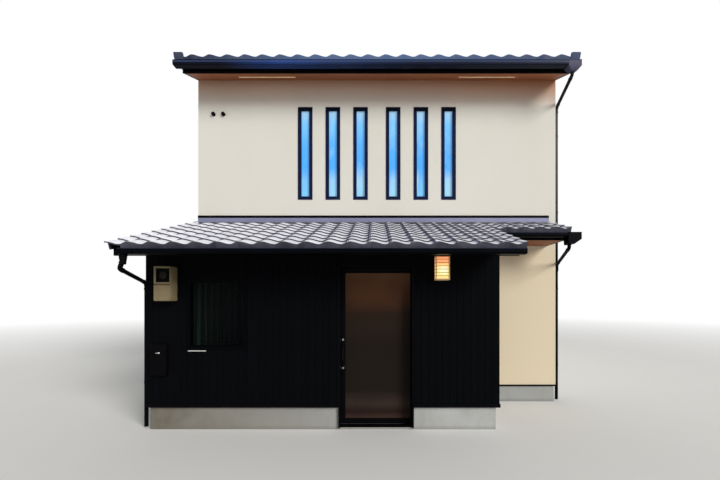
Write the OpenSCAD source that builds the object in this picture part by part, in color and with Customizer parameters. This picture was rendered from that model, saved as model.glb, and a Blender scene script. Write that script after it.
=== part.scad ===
// Modern machiya: a two-storey plaster house with a boarded front room under its own tiled roof.
// X runs along the street, Y into the house and Z up. Lengths are in millimetres.
// House coordinates have X = 0 on the house's centre line and Y = 0 on its front plaster.

/* [House] */
// Width of the house over its plaster
house_w = 6027; // [5400:1:7200]
// Depth of the house from its front plaster to its back plaster
house_d = 7300; // [5600:10:9600]
// Thickness of the outside walls
wall_t = 150; // [120:5:180]
// Height of the plaster between the slit windows and the soffit
slit_over = 454; // [300:1:700]
// How far the upper floor's surface stands above the top of the lower roof's deck
floor_over_roof = 38; // [20:1:90]
// Thickness of the upper floor
upper_floor_t = 240; // [150:10:260]

/* [Foundation] */
// Thickness of the ground slab above the ground
slab_t = 25; // [15:5:60]
// Height of the foundation under the plaster walls
house_base_h = 270; // [200:5:320]
// Height of the foundation under the boarded walls
room_base_h = 300; // [200:5:400]
// How far the plaster stands out past the foundation
plaster_lip = 18; // [5:1:40]
// How far the boards stand out past the foundation
board_lip = 35; // [10:1:60]
// Height of the black flashing at the foot of the boards
board_flashing_h = 46; // [20:1:80]
// Height of the black flashing at the foot of the plaster
plaster_flashing_h = 24; // [15:1:50]
// How far the foot flashings stand out
flashing_out = 12; // [5:1:25]

/* [Front room] */
// How far the boarded front stands ahead of the plaster
room_d = 1263; // [1100:1:1600]
// Width of the front room over its boards
room_w = 4649; // [4400:1:5000]
// How far the boards stand out past the plaster on the left side
room_jut = 31; // [0:1:60]

/* [Upper roof] */
// Rise of the upper roof over a run of ten
main_pitch = 4; // [3:0.1:5]
// Thickness of the upper roof's deck
main_deck_t = 155; // [120:5:200]
// How far the upper eave stands out from the plaster to the back of its fascia
main_eave = 440; // [300:10:700]
// Height of the upper fascias
main_fascia_h = 171; // [120:1:200]
// Number of tile columns across the upper roof
main_columns = 22; // [16:1:26]
// How far the tiles stand out past each gable
main_verge = 85; // [60:1:120]
// Width of the rolled verge tiles
verge_w = 155; // [110:5:200]
// How far the verge tiles' skirts hang below the deck's surface
verge_skirt = 60; // [30:5:100]
// How far the barge boards stand out past the plaster
barge_proud = 5; // [0:1:20]

/* [Lower roof] */
// Rise of the lower roof over a run of ten
front_pitch = 3.5; // [3:0.1:3.7]
// Thickness of the lower roof's deck
front_deck_t = 85; // [60:5:110]
// How far the deep eave stands out from the boards to the back of its fascia
front_eave = 537; // [400:1:700]
// How far the shallow eave stands out from the plaster to the back of its fascia
side_eave = 550; // [400:1:700]
// Height of the deep eave's fascia
front_fascia_h = 107; // [100:1:140]
// Height of the shallow eave's fascia
side_fascia_h = 147; // [110:1:170]
// Number of tile columns over the front room
front_columns = 19; // [14:1:22]
// Number of tile columns over the shallow eave
side_columns = 5; // [3:1:7]
// Number of tile courses up the front room's roof
front_rows = 9; // [7:1:11]
// Number of tile courses up the shallow eave
side_rows = 3; // [2:1:4]
// How far the deep tiles stand out past the boards on the left
front_verge_left = 20; // [20:1:60]
// How far the deep tiles stand out past the boards on the right
front_verge_right = 75; // [60:1:140]
// How far the shallow roof stops short of the plaster's right corner
side_roof_stop = 118; // [60:1:200]
// How far the shallow tiles stand out past the end board
side_verge = 30; // [24:1:60]

/* [Tiles and eaves] */
// Height of a tile's roll above the deck
tile_h = 82; // [60:1:100]
// Depth of a tile's pan below its roll
tile_wave = 31; // [20:1:40]
// Thickness of a tile
tile_t = 14; // [11:1:18]
// How far a course of tiles laps under the next one
tile_lap = 60; // [45:1:80]
// How far the tiles' noses stand out past the back of the fascia
tile_nose = 110; // [80:1:160]
// How far the flat eave tiles hang below the deck's surface
tile_drop = 8; // [0:1:20]
// Thickness of the fascias
fascia_t = 20; // [15:1:30]
// Thickness of the barge boards
barge_t = 30; // [20:1:40]
// Thickness of the soffit boards
soffit_t = 15; // [9:1:24]
// Width of the soffit vents
vent_w = 46; // [30:1:80]
// Length of the soffit vents
vent_l = 910; // [600:10:1600]
// Height of the ridge over the tiles' rolls
ridge_h = 150; // [100:5:220]
// Width of the ridge's round cap
ridge_cap_w = 170; // [140:5:220]

/* [Gutters and pipes] */
// Width of the gutters
gutter_w = 120; // [90:5:150]
// Depth of the upper gutters
main_gutter_h = 75; // [60:1:90]
// Depth of the lower gutters
lower_gutter_h = 60; // [50:1:80]
// Radius of the bends along the bottom of a gutter
gutter_bend = 25; // [10:1:28]
// Thickness of the gutters' walls
gutter_t = 3; // [2:0.5:5]
// How far a gutter's front stands out past the tiles' noses
gutter_reach = 66; // [40:1:90]
// How far the upper gutters' rims hang below the eave tiles
main_gutter_gap = 20; // [5:1:40]
// How far the shallow eave's gutter rim hangs below the eave tiles
side_gutter_gap = 14; // [5:1:40]
// How far the deep eave's gutter stops short of the tiles on the left
front_gutter_stop = 170; // [120:1:220]
// Diameter of the downpipes
pipe_d = 50; // [45:1:80]
// Distance from a wall to the centre of its downpipe
pipe_off = 62; // [50:1:90]
// Distance from a wall's front face back to the centre of its downpipe
pipe_back = 90; // [60:1:160]
// Width of the rainwater head on the shallow eave's gutter
hopper_w = 194; // [150:1:240]
// Depth of the rainwater head over its tapered foot
hopper_h = 103; // [80:1:140]
// Distance between the clips of a downpipe
clip_pitch = 1300; // [900:50:1500]

/* [Windows] */
// Width of a slit window over its frame
slit_w = 245; // [200:1:300]
// Height of a slit window over its frame
slit_h = 1561; // [1300:1:1700]
// Height of the plaster between the lower roof's drip strip and the slit windows
slit_under = 269; // [200:1:360]
// Distance between the middles of the slit windows in a group
slit_pitch = 467; // [400:1:520]
// Distance from the house's middle to the middle of the nearest slit window
slit_inner = 275; // [220:1:400]
// Width of the front window over its frame
window_w = 803; // [600:1:1000]
// Height of the front window over its frame
window_h = 934; // [700:1:1100]
// Height of the front window's lower edge
window_sill = 1056; // [900:1:1200]
// Distance from the boards' left end to the front window
window_x = 530; // [450:1:700]
// Width of the frame members
frame_w = 55; // [35:1:70]
// Depth of the window frames
frame_d = 80; // [60:1:100]
// How far the window frames stand out past the wall
frame_out = 8; // [2:1:15]
// Thickness of the panes
glass_t = 8; // [4:1:24]

/* [Entrance] */
// Width of the doorway between the boarded walls
door_w = 994; // [900:1:1100]
// Height of the doorway
door_h = 2170; // [2050:1:2200]
// Height of the boards over the doorway
head_h = 260; // [200:1:320]
// Distance from the doorway to the boards' right end
door_right = 1124; // [1100:1:1400]
// Thickness of the doorway's lining
lining_t = 20; // [15:1:30]
// Thickness of the sliding leaf
leaf_t = 40; // [34:1:50]
// Width of the leaf's stiles and rails
leaf_rail = 70; // [50:1:90]
// How far the leaf laps behind the left wall's lining
leaf_lap_left = 12; // [5:1:18]
// How far the leaf laps behind the right wall
leaf_lap_right = 58; // [40:1:70]
// Gap all round the sliding leaf
leaf_gap = 8; // [6:1:12]
// Travel of the sliding leaf
leaf_travel = 850; // [700:10:850]

/* [Fittings] */
// Width of the lamp
lamp_w = 179; // [140:1:220]
// Height of the lamp
lamp_h = 320; // [250:1:380]
// Depth of the lamp
lamp_d = 130; // [100:1:160]
// Height of the lamp's top above the doorway
lamp_over = 120; // [60:1:150]
// Distance from the doorway to the lamp
lamp_off = 267; // [200:1:330]
// Number of slats on a face of the lamp
lamp_slats = 7; // [5:1:9]
// Width of the meter box
meter_w = 217; // [180:1:260]
// Height of the meter box
meter_h = 447; // [380:1:500]
// Depth of the meter box
meter_d = 160; // [120:1:200]
// Height of the meter box's lower edge
meter_z = 1700; // [1600:10:1750]
// Distance from the boards' left end to the meter box
meter_x = 197; // [150:1:230]
// Width of the letter slot
letter_w = 257; // [220:1:300]
// Height of the letter slot
letter_h = 26; // [20:1:40]
// Width of the utility box
utility_w = 210; // [180:1:260]
// Height of the utility box
utility_h = 408; // [350:1:450]
// Depth of the utility box
utility_d = 60; // [40:1:100]
// Height of the utility box's lower edge
utility_z = 727; // [650:1:800]

/* [Hidden] */

plaster = "#dedacb";
board_black = "#15161a";
concrete = "#96948c";
tile_grey = "#a9a8b2";
timber_brown = "#7d4b32";
trim_black = "#1b1b1f";
pane_blue = "#8fc0e8";

// Gap that keeps faces on a slope from biting into each other
seat = 0.3;

half_w = house_w / 2;
room_x0 = -half_w - room_jut;
room_x1 = room_x0 + room_w;
room_y = -room_d;
room_in_y = room_y + wall_t;
ridge_y = house_d / 2;

main_k = main_pitch / 10;
main_a = atan(main_k);
main_deck_v = main_deck_t / cos(main_a);
front_k = front_pitch / 10;
front_a = atan(front_k);
front_deck_v = front_deck_t / cos(front_a);

// Heights up the front: doorway, boards over it, lower roof, upper floor, slit windows, soffit
front_roof_h = door_h + head_h + front_deck_v + front_k * room_d;
upper_floor_z = front_roof_h + floor_over_roof;
flashing_leg = 53;
flashing_z = front_roof_h + tile_h + flashing_leg;
drip_h = 39;
slit_sill = flashing_z + drip_h + slit_under;
eave_h = slit_sill + slit_h + slit_over;

// Heights of the decks' faces at a distance y behind the front plaster
function main_under(y) = eave_h + main_k * y;
function main_over(y) = main_under(y) + main_deck_v;
function front_over(y) = front_roof_h + front_k * y;
function front_under(y) = front_over(y) - front_deck_v;

front_fascia_y = room_y - front_eave;
front_nose_y = front_fascia_y - tile_nose;
side_nose_y = -side_eave - tile_nose;
main_nose_y = -main_eave - tile_nose;

front_tiles_x0 = room_x0 - front_verge_left;
front_tiles_x1 = room_x1 + front_verge_right;
side_roof_x1 = half_w - side_roof_stop;
side_board_x1 = side_roof_x1 - side_verge;
main_tiles_x1 = half_w + main_verge;
main_deck_x1 = half_w + barge_proud - barge_t;

door_x1 = room_x1 - door_right;
door_x0 = door_x1 - door_w;
window_x0 = room_x0 + window_x;

// Left and right reach, front and back reach, which place the origin
pipe_r = pipe_d / 2;
reach_x0 = room_x0 - pipe_off - pipe_r;
reach_x1 = half_w + pipe_off + pipe_r;
reach_y0 = front_nose_y - gutter_reach;
reach_y1 = house_d - main_nose_y + gutter_reach;
centre_x = (reach_x0 + reach_x1) / 2;
centre_y = (reach_y0 + reach_y1) / 2;

// Puts the origin on the ground under the middle of the whole house
module placed() {
    translate([-centre_x, -centre_y, 0]) children();
}

// A solid between two corners
module block(low, high) {
    translate(low) cube(high - low);
}

// An outline drawn in Y and Z, run along X
module along_x(x0, x1) {
    translate([x0, 0, 0]) rotate([90, 0, 90]) linear_extrude(x1 - x0) children();
}

// What stands on the front half, turned round to the back half
module turned_to_back() {
    translate([0, house_d, 0]) mirror([0, 1, 0]) children();
}

// What stands on the right side, with its mirror image on the left side
module on_both_gables() {
    children();
    mirror([1, 0, 0]) children();
}

module ground_slab() {
    color(concrete) placed() union() {
        block([door_x0, room_y + board_lip, 0], [door_x1, room_in_y, slab_t]);
        block([room_x0 + wall_t, room_in_y, 0], [room_x1 - wall_t, 0, slab_t]);
        block([wall_t - half_w, 0, 0], [room_x1 - wall_t, wall_t, slab_t]);
        block([wall_t - half_w, wall_t, 0], [half_w - wall_t, house_d - wall_t, slab_t]);
    }
}

// The foundations' inner faces are level with those of the walls over them
module side_foundations() {
    out_x = half_w - plaster_lip;
    in_x = half_w - wall_t;
    back_y = house_d - plaster_lip;
    room_y0 = room_y + board_lip;
    color(concrete) placed() {
        union() {
            block([room_x0 + board_lip, room_y0, 0], [room_x0 + wall_t, 0, room_base_h]);
            block([-out_x, 0, 0], [-in_x, back_y, house_base_h]);
        }
        union() {
            block([room_x1 - wall_t, room_y0, 0], [room_x1 - board_lip, 0, room_base_h]);
            block([room_x1 - wall_t, 0, 0], [room_x1 - board_lip, plaster_lip, house_base_h]);
        }
        block([in_x, plaster_lip, 0], [out_x, back_y, house_base_h]);
    }
}

module cross_foundations() {
    room_y0 = room_y + board_lip;
    in_x = half_w - wall_t;
    color(concrete) placed() {
        block([room_x0 + wall_t, room_y0, 0], [door_x0, room_in_y, room_base_h]);
        block([door_x1, room_y0, 0], [room_x1 - wall_t, room_in_y, room_base_h]);
        block([room_x1 - wall_t, plaster_lip, 0], [in_x, wall_t, house_base_h]);
        block([-in_x, house_d - wall_t, 0], [in_x, house_d - plaster_lip, house_base_h]);
    }
}

// Strips round the foot of the boards, with a break at the doorway
module board_drip() {
    z0 = room_base_h;
    z1 = room_base_h + board_flashing_h;
    difference() {
        block([room_x0 - flashing_out, room_y - flashing_out, z0], [room_x1 + flashing_out, 0, z1]);
        block([room_x0, room_y, z0 - 1], [room_x1, 1, z1 + 1]);
        block([door_x0, room_y - flashing_out - 1, z0 - 1], [door_x1, room_y + 1, z1 + 1]);
    }
}

// The strip round the foot of the plaster, which the front room interrupts
module plaster_drip() {
    lap = 6;
    z0 = house_base_h - lap;
    z1 = z0 + plaster_flashing_h;
    difference() {
        block([-half_w - flashing_out, -flashing_out, z0],
              [half_w + flashing_out, house_d + flashing_out, z1]);
        block([-half_w, 0, z0 - 1], [half_w, house_d, z1 + 1]);
        block([room_x0 - flashing_out - 1, -flashing_out - 1, z0 - 1],
              [room_x1 + flashing_out, 1, z1 + 1]);
    }
}

// Thin bent strips that shed water over the foundations, and one over the lower roof's flashing
module drip_flashings() {
    color(trim_black) placed() {
        board_drip();
        plaster_drip();
        block([-half_w, -flashing_out - 4, flashing_z], [side_roof_x1, 0, flashing_z + drip_h]);
    }
}

// Outline of a front-room wall across Y, from the height z up to the roof deck
module room_wall_outline(y0, y1, z) {
    polygon([[y0, z], [y1, z], [y1, front_under(y1)], [y0, front_under(y0)]]);
}

module front_wall_left() {
    color(board_black) placed() difference() {
        along_x(room_x0, door_x0) room_wall_outline(room_y, room_in_y, room_base_h);
        block([window_x0, room_y - 1, window_sill],
              [window_x0 + window_w, room_in_y + 1, window_sill + window_h]);
    }
}

module front_wall_right() {
    color(board_black) placed()
        along_x(door_x1, room_x1) room_wall_outline(room_y, room_in_y, room_base_h);
}

module front_wall_head() {
    color(board_black) placed()
        along_x(door_x0, door_x1) room_wall_outline(room_y, room_in_y, door_h);
}

module front_side_walls() {
    color(board_black) placed() {
        along_x(room_x0, room_x0 + wall_t) room_wall_outline(room_in_y, 0, room_base_h);
        along_x(room_x1 - wall_t, room_x1) room_wall_outline(room_in_y, 0, room_base_h);
    }
}

module gable_walls() {
    color(plaster) placed() on_both_gables()
        along_x(half_w - wall_t, half_w)
            polygon([[0, house_base_h], [house_d, house_base_h], [house_d, eave_h],
                     [ridge_y, main_under(ridge_y)], [0, eave_h]]);
}

// The wall to the right of the front room, up to the upper floor
module lower_front_wall() {
    color(plaster) placed()
        block([room_x1 - wall_t, 0, house_base_h],
              [half_w - wall_t, wall_t, upper_floor_z - upper_floor_t]);
}

// Left edges of the slit windows, three to each side of the middle
slit_places = [for (side = [-1, 1], i = [0:2]) side * (slit_inner + i * slit_pitch) - slit_w / 2];

module slit_cuts() {
    for (x = slit_places)
        block([x, -1, slit_sill], [x + slit_w, wall_t + 1, slit_sill + slit_h]);
}

// Outline of a plaster wall across Y, from the height z up to the roof deck
module house_wall_outline(z) {
    polygon([[0, z], [wall_t, z], [wall_t, main_under(wall_t)], [0, eave_h]]);
}

module upper_front_wall() {
    color(plaster) placed() difference() {
        along_x(wall_t - half_w, half_w - wall_t)
            house_wall_outline(upper_floor_z - upper_floor_t);
        slit_cuts();
    }
}

// Left edges of the two windows at the back, set in from the corners like the front one
back_window_places = [window_x - half_w, half_w - window_x - window_w];

module back_wall() {
    color(plaster) placed() turned_to_back() difference() {
        along_x(wall_t - half_w, half_w - wall_t) house_wall_outline(house_base_h);
        slit_cuts();
        for (x = back_window_places)
            block([x, -1, window_sill], [x + window_w, wall_t + 1, window_sill + window_h]);
    }
}

module upper_floor() {
    in_x = half_w - wall_t;
    color("#a98a62") placed()
        block([-in_x, wall_t, upper_floor_z - upper_floor_t],
              [in_x, house_d - wall_t, upper_floor_z]);
}

// Point at a distance d up a slope that starts at the point nose, h out from its surface
function slope_point(nose, angle, d, h) =
    nose + [d * cos(angle) - h * sin(angle), d * sin(angle) + h * cos(angle)];

// Lower roof tiles: how far each course shows, and its tilt over the course that it laps
lap_gap = 1.5;
wall_gap = tile_h * tan(front_a);
front_nose = [front_nose_y, front_over(front_nose_y)];
side_nose = [side_nose_y, front_over(side_nose_y)];
function course_run(rows, nose) = (-nose[0] / cos(front_a) - wall_gap - tile_lap) / rows;
function course_tilt(run) = atan((tile_t + lap_gap) / run);
front_run = course_run(front_rows, front_nose);
side_run = course_run(side_rows, side_nose);

// Battens under the upper end of each course, as steps along the top of the deck's outline
batten_w = 36;
batten_end = 4;
function batten_steps(rows, run, nose) =
    let (h = tile_h - tile_wave - tile_t - (run + tile_lap) * tan(course_tilt(run)) - 2)
    [for (i = [0:rows - 1], step = [[0, 0], [0, h], [batten_w, h], [batten_w, 0]])
        slope_point(nose, front_a, (rows - i) * run + tile_lap - batten_end - step[0], step[1])];

// Outline of the lower roof's deck from its eave to the plaster
module front_deck_outline(eave_y, steps = []) {
    polygon(concat([[eave_y, front_over(eave_y)], [eave_y, front_under(eave_y)],
                    [0, front_under(0)], [0, front_over(0)]], steps));
}

module front_roof_deck() {
    color("#6b5540") placed() along_x(room_x0 + barge_t, room_x1)
        front_deck_outline(front_fascia_y, batten_steps(front_rows, front_run, front_nose));
}

module side_roof_deck() {
    color("#6b5540") placed() along_x(room_x1, side_board_x1 - barge_t)
        front_deck_outline(-side_eave, batten_steps(side_rows, side_run, side_nose));
}

// Height of a tile's surface over the deck; u runs from one roll to the next
trough_at = 0.64;
half_turn = 180;
function tile_turn(u) = u < trough_at ? half_turn * u / trough_at
                                      : half_turn * (1 + (u - trough_at) / (1 - trough_at));
function tile_top(u) = tile_h - tile_wave / 2 * (1 - cos(tile_turn(u)));
tile_steps = 6;

// Height at a place along a row of tiles whose first roll is lead of a column in
function row_top(x, column_w, lead) =
    let (u = x / column_w - lead) tile_top(u - floor(u));

// Points along the surface of a row of tiles, from the distance x0 along the eave
function tile_line(columns, width, x0 = 0, lead = 0) =
    let (column_w = width / columns)
    concat([[x0, row_top(x0, column_w, lead)]],
           [for (c = [-1:columns - 1], s = [0:tile_steps - 1])
               let (x = (c + lead + s / tile_steps) * column_w)
                   if (x > x0 + 1 && x < width - 1) [x, tile_top(s / tile_steps)]],
           [[width, row_top(width, column_w, lead)]]);

// Section of a row of tiles down to a straight lower edge
module tile_section(columns, width, low, x0 = 0, lead = 0) {
    polygon(concat([[x0, low]], tile_line(columns, width, x0, lead), [[width, low]]));
}

// Section of a row of tiles as a shell of even thickness
module shell_section(columns, width) {
    top = tile_line(columns, width);
    last = len(top) - 1;
    polygon(concat(top, [for (i = [0:last]) top[last - i] - [0, tile_t]]));
}

// Local axes on a roof: X along the eave, Y up the slope, Z square to the deck
module on_slope(x, nose, angle) {
    translate([x, nose[0], nose[1] + seat]) rotate([angle, 0, 0]) children();
}

// A section drawn in X and Z, run up the slope
module up_slope(from, length) {
    translate([0, from + length, 0]) rotate([90, 0, 0]) linear_extrude(length) children();
}

plate_t = 20;
skirt_t = 18;
skirt_drop = 18;
nose_clear = 50;

// The edge of a verge tile that hangs past the deck, behind the course that its own one laps
module course_skirt(x, from, to) {
    block([x, from, -skirt_drop], [x + skirt_t, to, tile_h - tile_t - 1]);
}

// Lapped courses of tiles, each its own piece, with flat plates in front of the eave course
module tile_courses(columns, width, rows, run, plates_from, left_skirts, right_skirts, eave_skirt) {
    for (i = [0:rows - 1])
        translate([0, i * run, 0]) rotate([-course_tilt(run), 0, 0]) union() {
            end = run + tile_lap;
            skirt_from = i == 0 ? eave_skirt : tile_lap + 2;
            up_slope(0, end) shell_section(columns, width);
            if (i == 0) up_slope(0, plate_t) tile_section(columns, width, -tile_drop, plates_from);
            if (i < left_skirts) course_skirt(0, skirt_from, end);
            if (i < right_skirts) course_skirt(width - skirt_t, skirt_from, end);
        }
}

// Front and shallow roofs lie in one plane; only the front's courses below the shallow eave
// have a free right edge
side_tiles_x0 = front_tiles_x1 + 2;
free_rows = floor((side_nose_y - front_nose_y) / cos(front_a) / front_run);
behind_gutter = gutter_w - gutter_reach + 25;
module lower_roof_tiles() {
    color(tile_grey) placed() {
        on_slope(front_tiles_x0, front_nose, front_a)
            tile_courses(front_columns, front_tiles_x1 - front_tiles_x0, front_rows, front_run,
                         front_gutter_stop, front_rows, free_rows, nose_clear);
        on_slope(side_tiles_x0, side_nose, front_a)
            tile_courses(side_columns, side_roof_x1 - side_tiles_x0, side_rows, side_run,
                         0, 0, side_rows, behind_gutter);
    }
}

// The deep eave's soffit follows the slope of its deck
module front_soffit() {
    drop = soffit_t / cos(front_a);
    color(trim_black) placed() along_x(room_x0, room_x1)
        polygon([[front_fascia_y, front_under(front_fascia_y) - drop],
                 [room_y, front_under(room_y) - drop], [room_y, front_under(room_y) - seat],
                 [front_fascia_y, front_under(front_fascia_y) - seat]]);
}

// The shallow eave's soffit is level
side_soffit_z = front_over(-side_eave) - side_fascia_h;
module side_soffit() {
    color(timber_brown) placed()
        block([room_x1, -side_eave, side_soffit_z],
              [side_board_x1 - barge_t, 0, side_soffit_z + soffit_t]);
}

// Height of the last course's rolls at a distance y behind the front plaster
function last_course(y) =
    let (d = (y - front_nose_y) / cos(front_a) - (front_rows - 1) * front_run)
    front_over(y) + (tile_h - d * tan(course_tilt(front_run))) / cos(front_a);

// Grey sheet that laps the top of the lower tiles, left of the plaster too, and turns up the plaster
module wall_flashing() {
    lap_y = -75;
    leg_y = -12;
    sheet = 8;
    over = 3;
    color("#9a9aa4") placed() difference() {
        along_x(front_tiles_x0, side_roof_x1)
            polygon([[0, last_course(0) + over], [0, flashing_z], [leg_y, flashing_z],
                     [leg_y, last_course(leg_y) + over + sheet],
                     [lap_y, last_course(lap_y) + over + sheet],
                     [lap_y, last_course(lap_y) + over]]);
        block([front_tiles_x0 - 1, leg_y - 1, last_course(0) + over + sheet],
              [-half_w, 1, flashing_z + 1]);
    }
}

module main_deck() {
    along_x(-main_deck_x1, main_deck_x1)
        polygon([[-main_eave, main_under(-main_eave)], [ridge_y, main_under(ridge_y)],
                 [ridge_y, main_over(ridge_y)], [-main_eave, main_over(-main_eave)]]);
}

module roof_deck_front() {
    color("#7a5238") placed() main_deck();
}

module roof_deck_back() {
    color("#7a5238") placed() turned_to_back() main_deck();
}

// Half widths of the ridge's foot, between the two tile fields, and of its stack over them
ridge_foot = 45;
ridge_half = ridge_cap_w / 2 + 25;
ridge_gap = 5;

// The rolled tiles over a gable, whose skirts hang outside the barge board behind the gutter
verge_roll_r = 46;
verge_roll_in = 3;
verge_lap = 20;
skirt_edge = 25;
verge_end_h = 112;
verge_end_in = 6;
verge_end_out = 3;
module verge_tiles(length) {
    roll_length = length - (ridge_half + ridge_gap - ridge_foot) / cos(main_a);
    skirt_y = (gutter_w - gutter_reach + 10) / cos(main_a);
    up_slope(0, length) translate([-verge_lap, 0]) square([verge_w + verge_lap, tile_h - tile_wave]);
    up_slope(0, roll_length)
        translate([verge_w - verge_roll_in - verge_roll_r, verge_roll_in + verge_roll_r])
            circle(verge_roll_r, $fn = 32);
    block([verge_w - skirt_edge - 2, skirt_y, -verge_skirt],
          [verge_w - 2, length - 2, tile_h - tile_wave - 2]);
    block([2, -verge_end_out, -tile_drop / 2], [verge_w - verge_end_in, plate_t, verge_end_h]);
}

main_lead = 0.45;
module main_tiles() {
    columns_w = 2 * (main_tiles_x1 - verge_w);
    length = (ridge_y - ridge_foot - ridge_gap - main_nose_y) / cos(main_a) - tile_h * tan(main_a);
    on_slope(0, [main_nose_y, main_over(main_nose_y)], main_a) union() {
        translate([-columns_w / 2, 0, 0]) {
            up_slope(0, length) tile_section(main_columns, columns_w, 0, 0, main_lead);
            up_slope(0, plate_t)
                tile_section(main_columns, columns_w, -tile_drop, 0, main_lead);
        }
        on_both_gables() translate([columns_w / 2, 0, 0]) verge_tiles(length);
    }
}

module upper_roof_tiles() {
    color(tile_grey) placed() {
        main_tiles();
        turned_to_back() main_tiles();
    }
}

// A stack of flat tiles on a foot between the tile fields, under a round cap
module ridge() {
    cap_r = ridge_cap_w / 2;
    cap_z = main_over(ridge_y) + tile_h - tile_wave + ridge_h - cap_r;
    over = 1;
    function deck_z(d) = main_over(ridge_y) - main_k * d + seat;
    function rolls_z(d) = deck_z(d) + tile_h / cos(main_a) + over;
    left = [[-ridge_half, cap_z], [-ridge_half, rolls_z(ridge_half)],
            [-ridge_foot, rolls_z(ridge_foot)], [-ridge_foot, deck_z(ridge_foot)]];
    right = [for (i = [3:-1:0]) [-left[i][0], left[i][1]]];
    color(tile_grey) placed()
        along_x(-main_tiles_x1, main_tiles_x1) translate([ridge_y, 0]) union() {
            polygon(concat(left, [[0, deck_z(0)]], right));
            translate([0, cap_z]) circle(cap_r, $fn = 32);
        }
}

// Louvred strips let into the boards of the upper eaves
vent_off = 0.591;
module vent_strips() {
    strip_t = 6;
    for (side = [-1, 1])
        translate([side * half_w * vent_off - vent_l / 2, -main_eave / 2,
                   main_under(-main_eave / 2) - seat])
            rotate([main_a, 0, 0]) translate([0, -vent_w / 2, -strip_t])
                cube([vent_l, vent_w, strip_t]);
}

module soffit_vents() {
    color("#c9c4b8") placed() {
        vent_strips();
        turned_to_back() vent_strips();
    }
}

// A board across the eave, with its top cut to the slope of the deck
module fascia_board(x0, x1, y, top, height, k) {
    along_x(x0, x1)
        polygon([[y, top], [y, top - height], [y - fascia_t, top - height],
                 [y - fascia_t, top - k * fascia_t]]);
}

module main_fascia() {
    x1 = half_w + barge_proud;
    fascia_board(-x1, x1, -main_eave, main_over(-main_eave), main_fascia_h, main_k);
}

module fascias() {
    color(trim_black) placed() {
        main_fascia();
        turned_to_back() main_fascia();
        fascia_board(room_x0, room_x1 + barge_t, front_fascia_y, front_over(front_fascia_y),
                     front_fascia_h, front_k);
        fascia_board(room_x1 + barge_t, side_board_x1, -side_eave, front_over(-side_eave),
                     side_fascia_h, front_k);
    }
}

module gable_board() {
    along_x(main_deck_x1, half_w + barge_proud)
        polygon([[-main_eave, main_under(-main_eave)], [ridge_y, main_under(ridge_y)],
                 [house_d + main_eave, main_under(-main_eave)],
                 [house_d + main_eave, main_over(-main_eave)], [ridge_y, main_over(ridge_y)],
                 [-main_eave, main_over(-main_eave)]]);
}

module barge_boards() {
    color(trim_black) placed() {
        on_both_gables() gable_board();
        along_x(room_x0, room_x0 + barge_t) front_deck_outline(front_fascia_y);
        along_x(room_x1, room_x1 + barge_t)
            polygon([[front_fascia_y, front_under(front_fascia_y)],
                     [-side_eave, front_under(-side_eave)], [-side_eave, front_over(-side_eave)],
                     [front_fascia_y, front_over(front_fascia_y)]]);
        along_x(side_board_x1 - barge_t, side_board_x1)
            polygon([[-side_eave, side_soffit_z], [0, side_soffit_z], [0, front_over(0)],
                     [-side_eave, front_over(-side_eave)]]);
    }
}

// Outline of a gutter across Y and Z, its corner at the origin, drawn in from its outside
module gutter_outline(h, inset) {
    r = gutter_bend - inset;
    w = gutter_w - 2 * inset;
    translate([inset, inset]) union() {
        translate([0, r]) square([w, h - r]);
        translate([r, 0]) square([w - 2 * r, 2 * r]);
        for (x = [r, w - r]) translate([x, r]) circle(r, $fn = 32);
    }
}

module gutter_body(x0, x1, y, z, h) {
    translate([0, y, z - h]) along_x(x0, x1) intersection() {
        gutter_outline(h, 0);
        square([gutter_w, h]);
    }
}

module gutter_hollow(x0, x1, y, z, h) {
    translate([0, y, z - h]) along_x(x0, x1) gutter_outline(h, gutter_t);
}

// A trough closed at both ends, with its front at y and its rim at z
module gutter(x0, x1, y, z, h) {
    difference() {
        gutter_body(x0, x1, y, z, h);
        gutter_hollow(x0 + gutter_t, x1 - gutter_t, y, z, h);
    }
}

// Arms that hold a gutter to its fascia
arm_pitch = 900;
arm_w = 25;
arm_h = 12;
module gutter_arms(x0, x1, y, z, h, fascia_y) {
    count = round((x1 - x0) / arm_pitch);
    for (i = [0:count]) {
        x = x0 + gutter_t + i * (x1 - x0 - 2 * gutter_t - arm_w) / count;
        low = z - h + gutter_bend;
        block([x, y + gutter_w - gutter_t, low], [x + arm_w, fascia_y, low + arm_h]);
    }
}

main_gutter_z = main_over(main_nose_y) - tile_drop - main_gutter_gap;
front_gutter_z = front_over(front_nose_y) - tile_drop;
side_gutter_z = front_over(side_nose_y) - tile_drop - side_gutter_gap;
gutter_over = 72;

module upper_gutter() {
    x1 = half_w + gutter_over;
    y = main_nose_y - gutter_reach;
    union() {
        gutter(-x1, x1, y, main_gutter_z, main_gutter_h);
        gutter_arms(-half_w, half_w, y, main_gutter_z, main_gutter_h, -main_eave - fascia_t);
    }
}

module upper_gutters() {
    color(trim_black) placed() {
        upper_gutter();
        turned_to_back() upper_gutter();
    }
}

// The gutter under the deep eave ends just inside the verge tiles' skirts
front_gutter_x0 = front_tiles_x0 + front_gutter_stop;
front_gutter_x1 = front_tiles_x1 - skirt_t - 4;
module front_gutter() {
    y = front_nose_y - gutter_reach;
    union() {
        gutter(front_gutter_x0, front_gutter_x1, y, front_gutter_z, lower_gutter_h);
        gutter_arms(front_gutter_x0, room_x1, y, front_gutter_z, lower_gutter_h,
                    front_fascia_y - fascia_t);
    }
}

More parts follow.
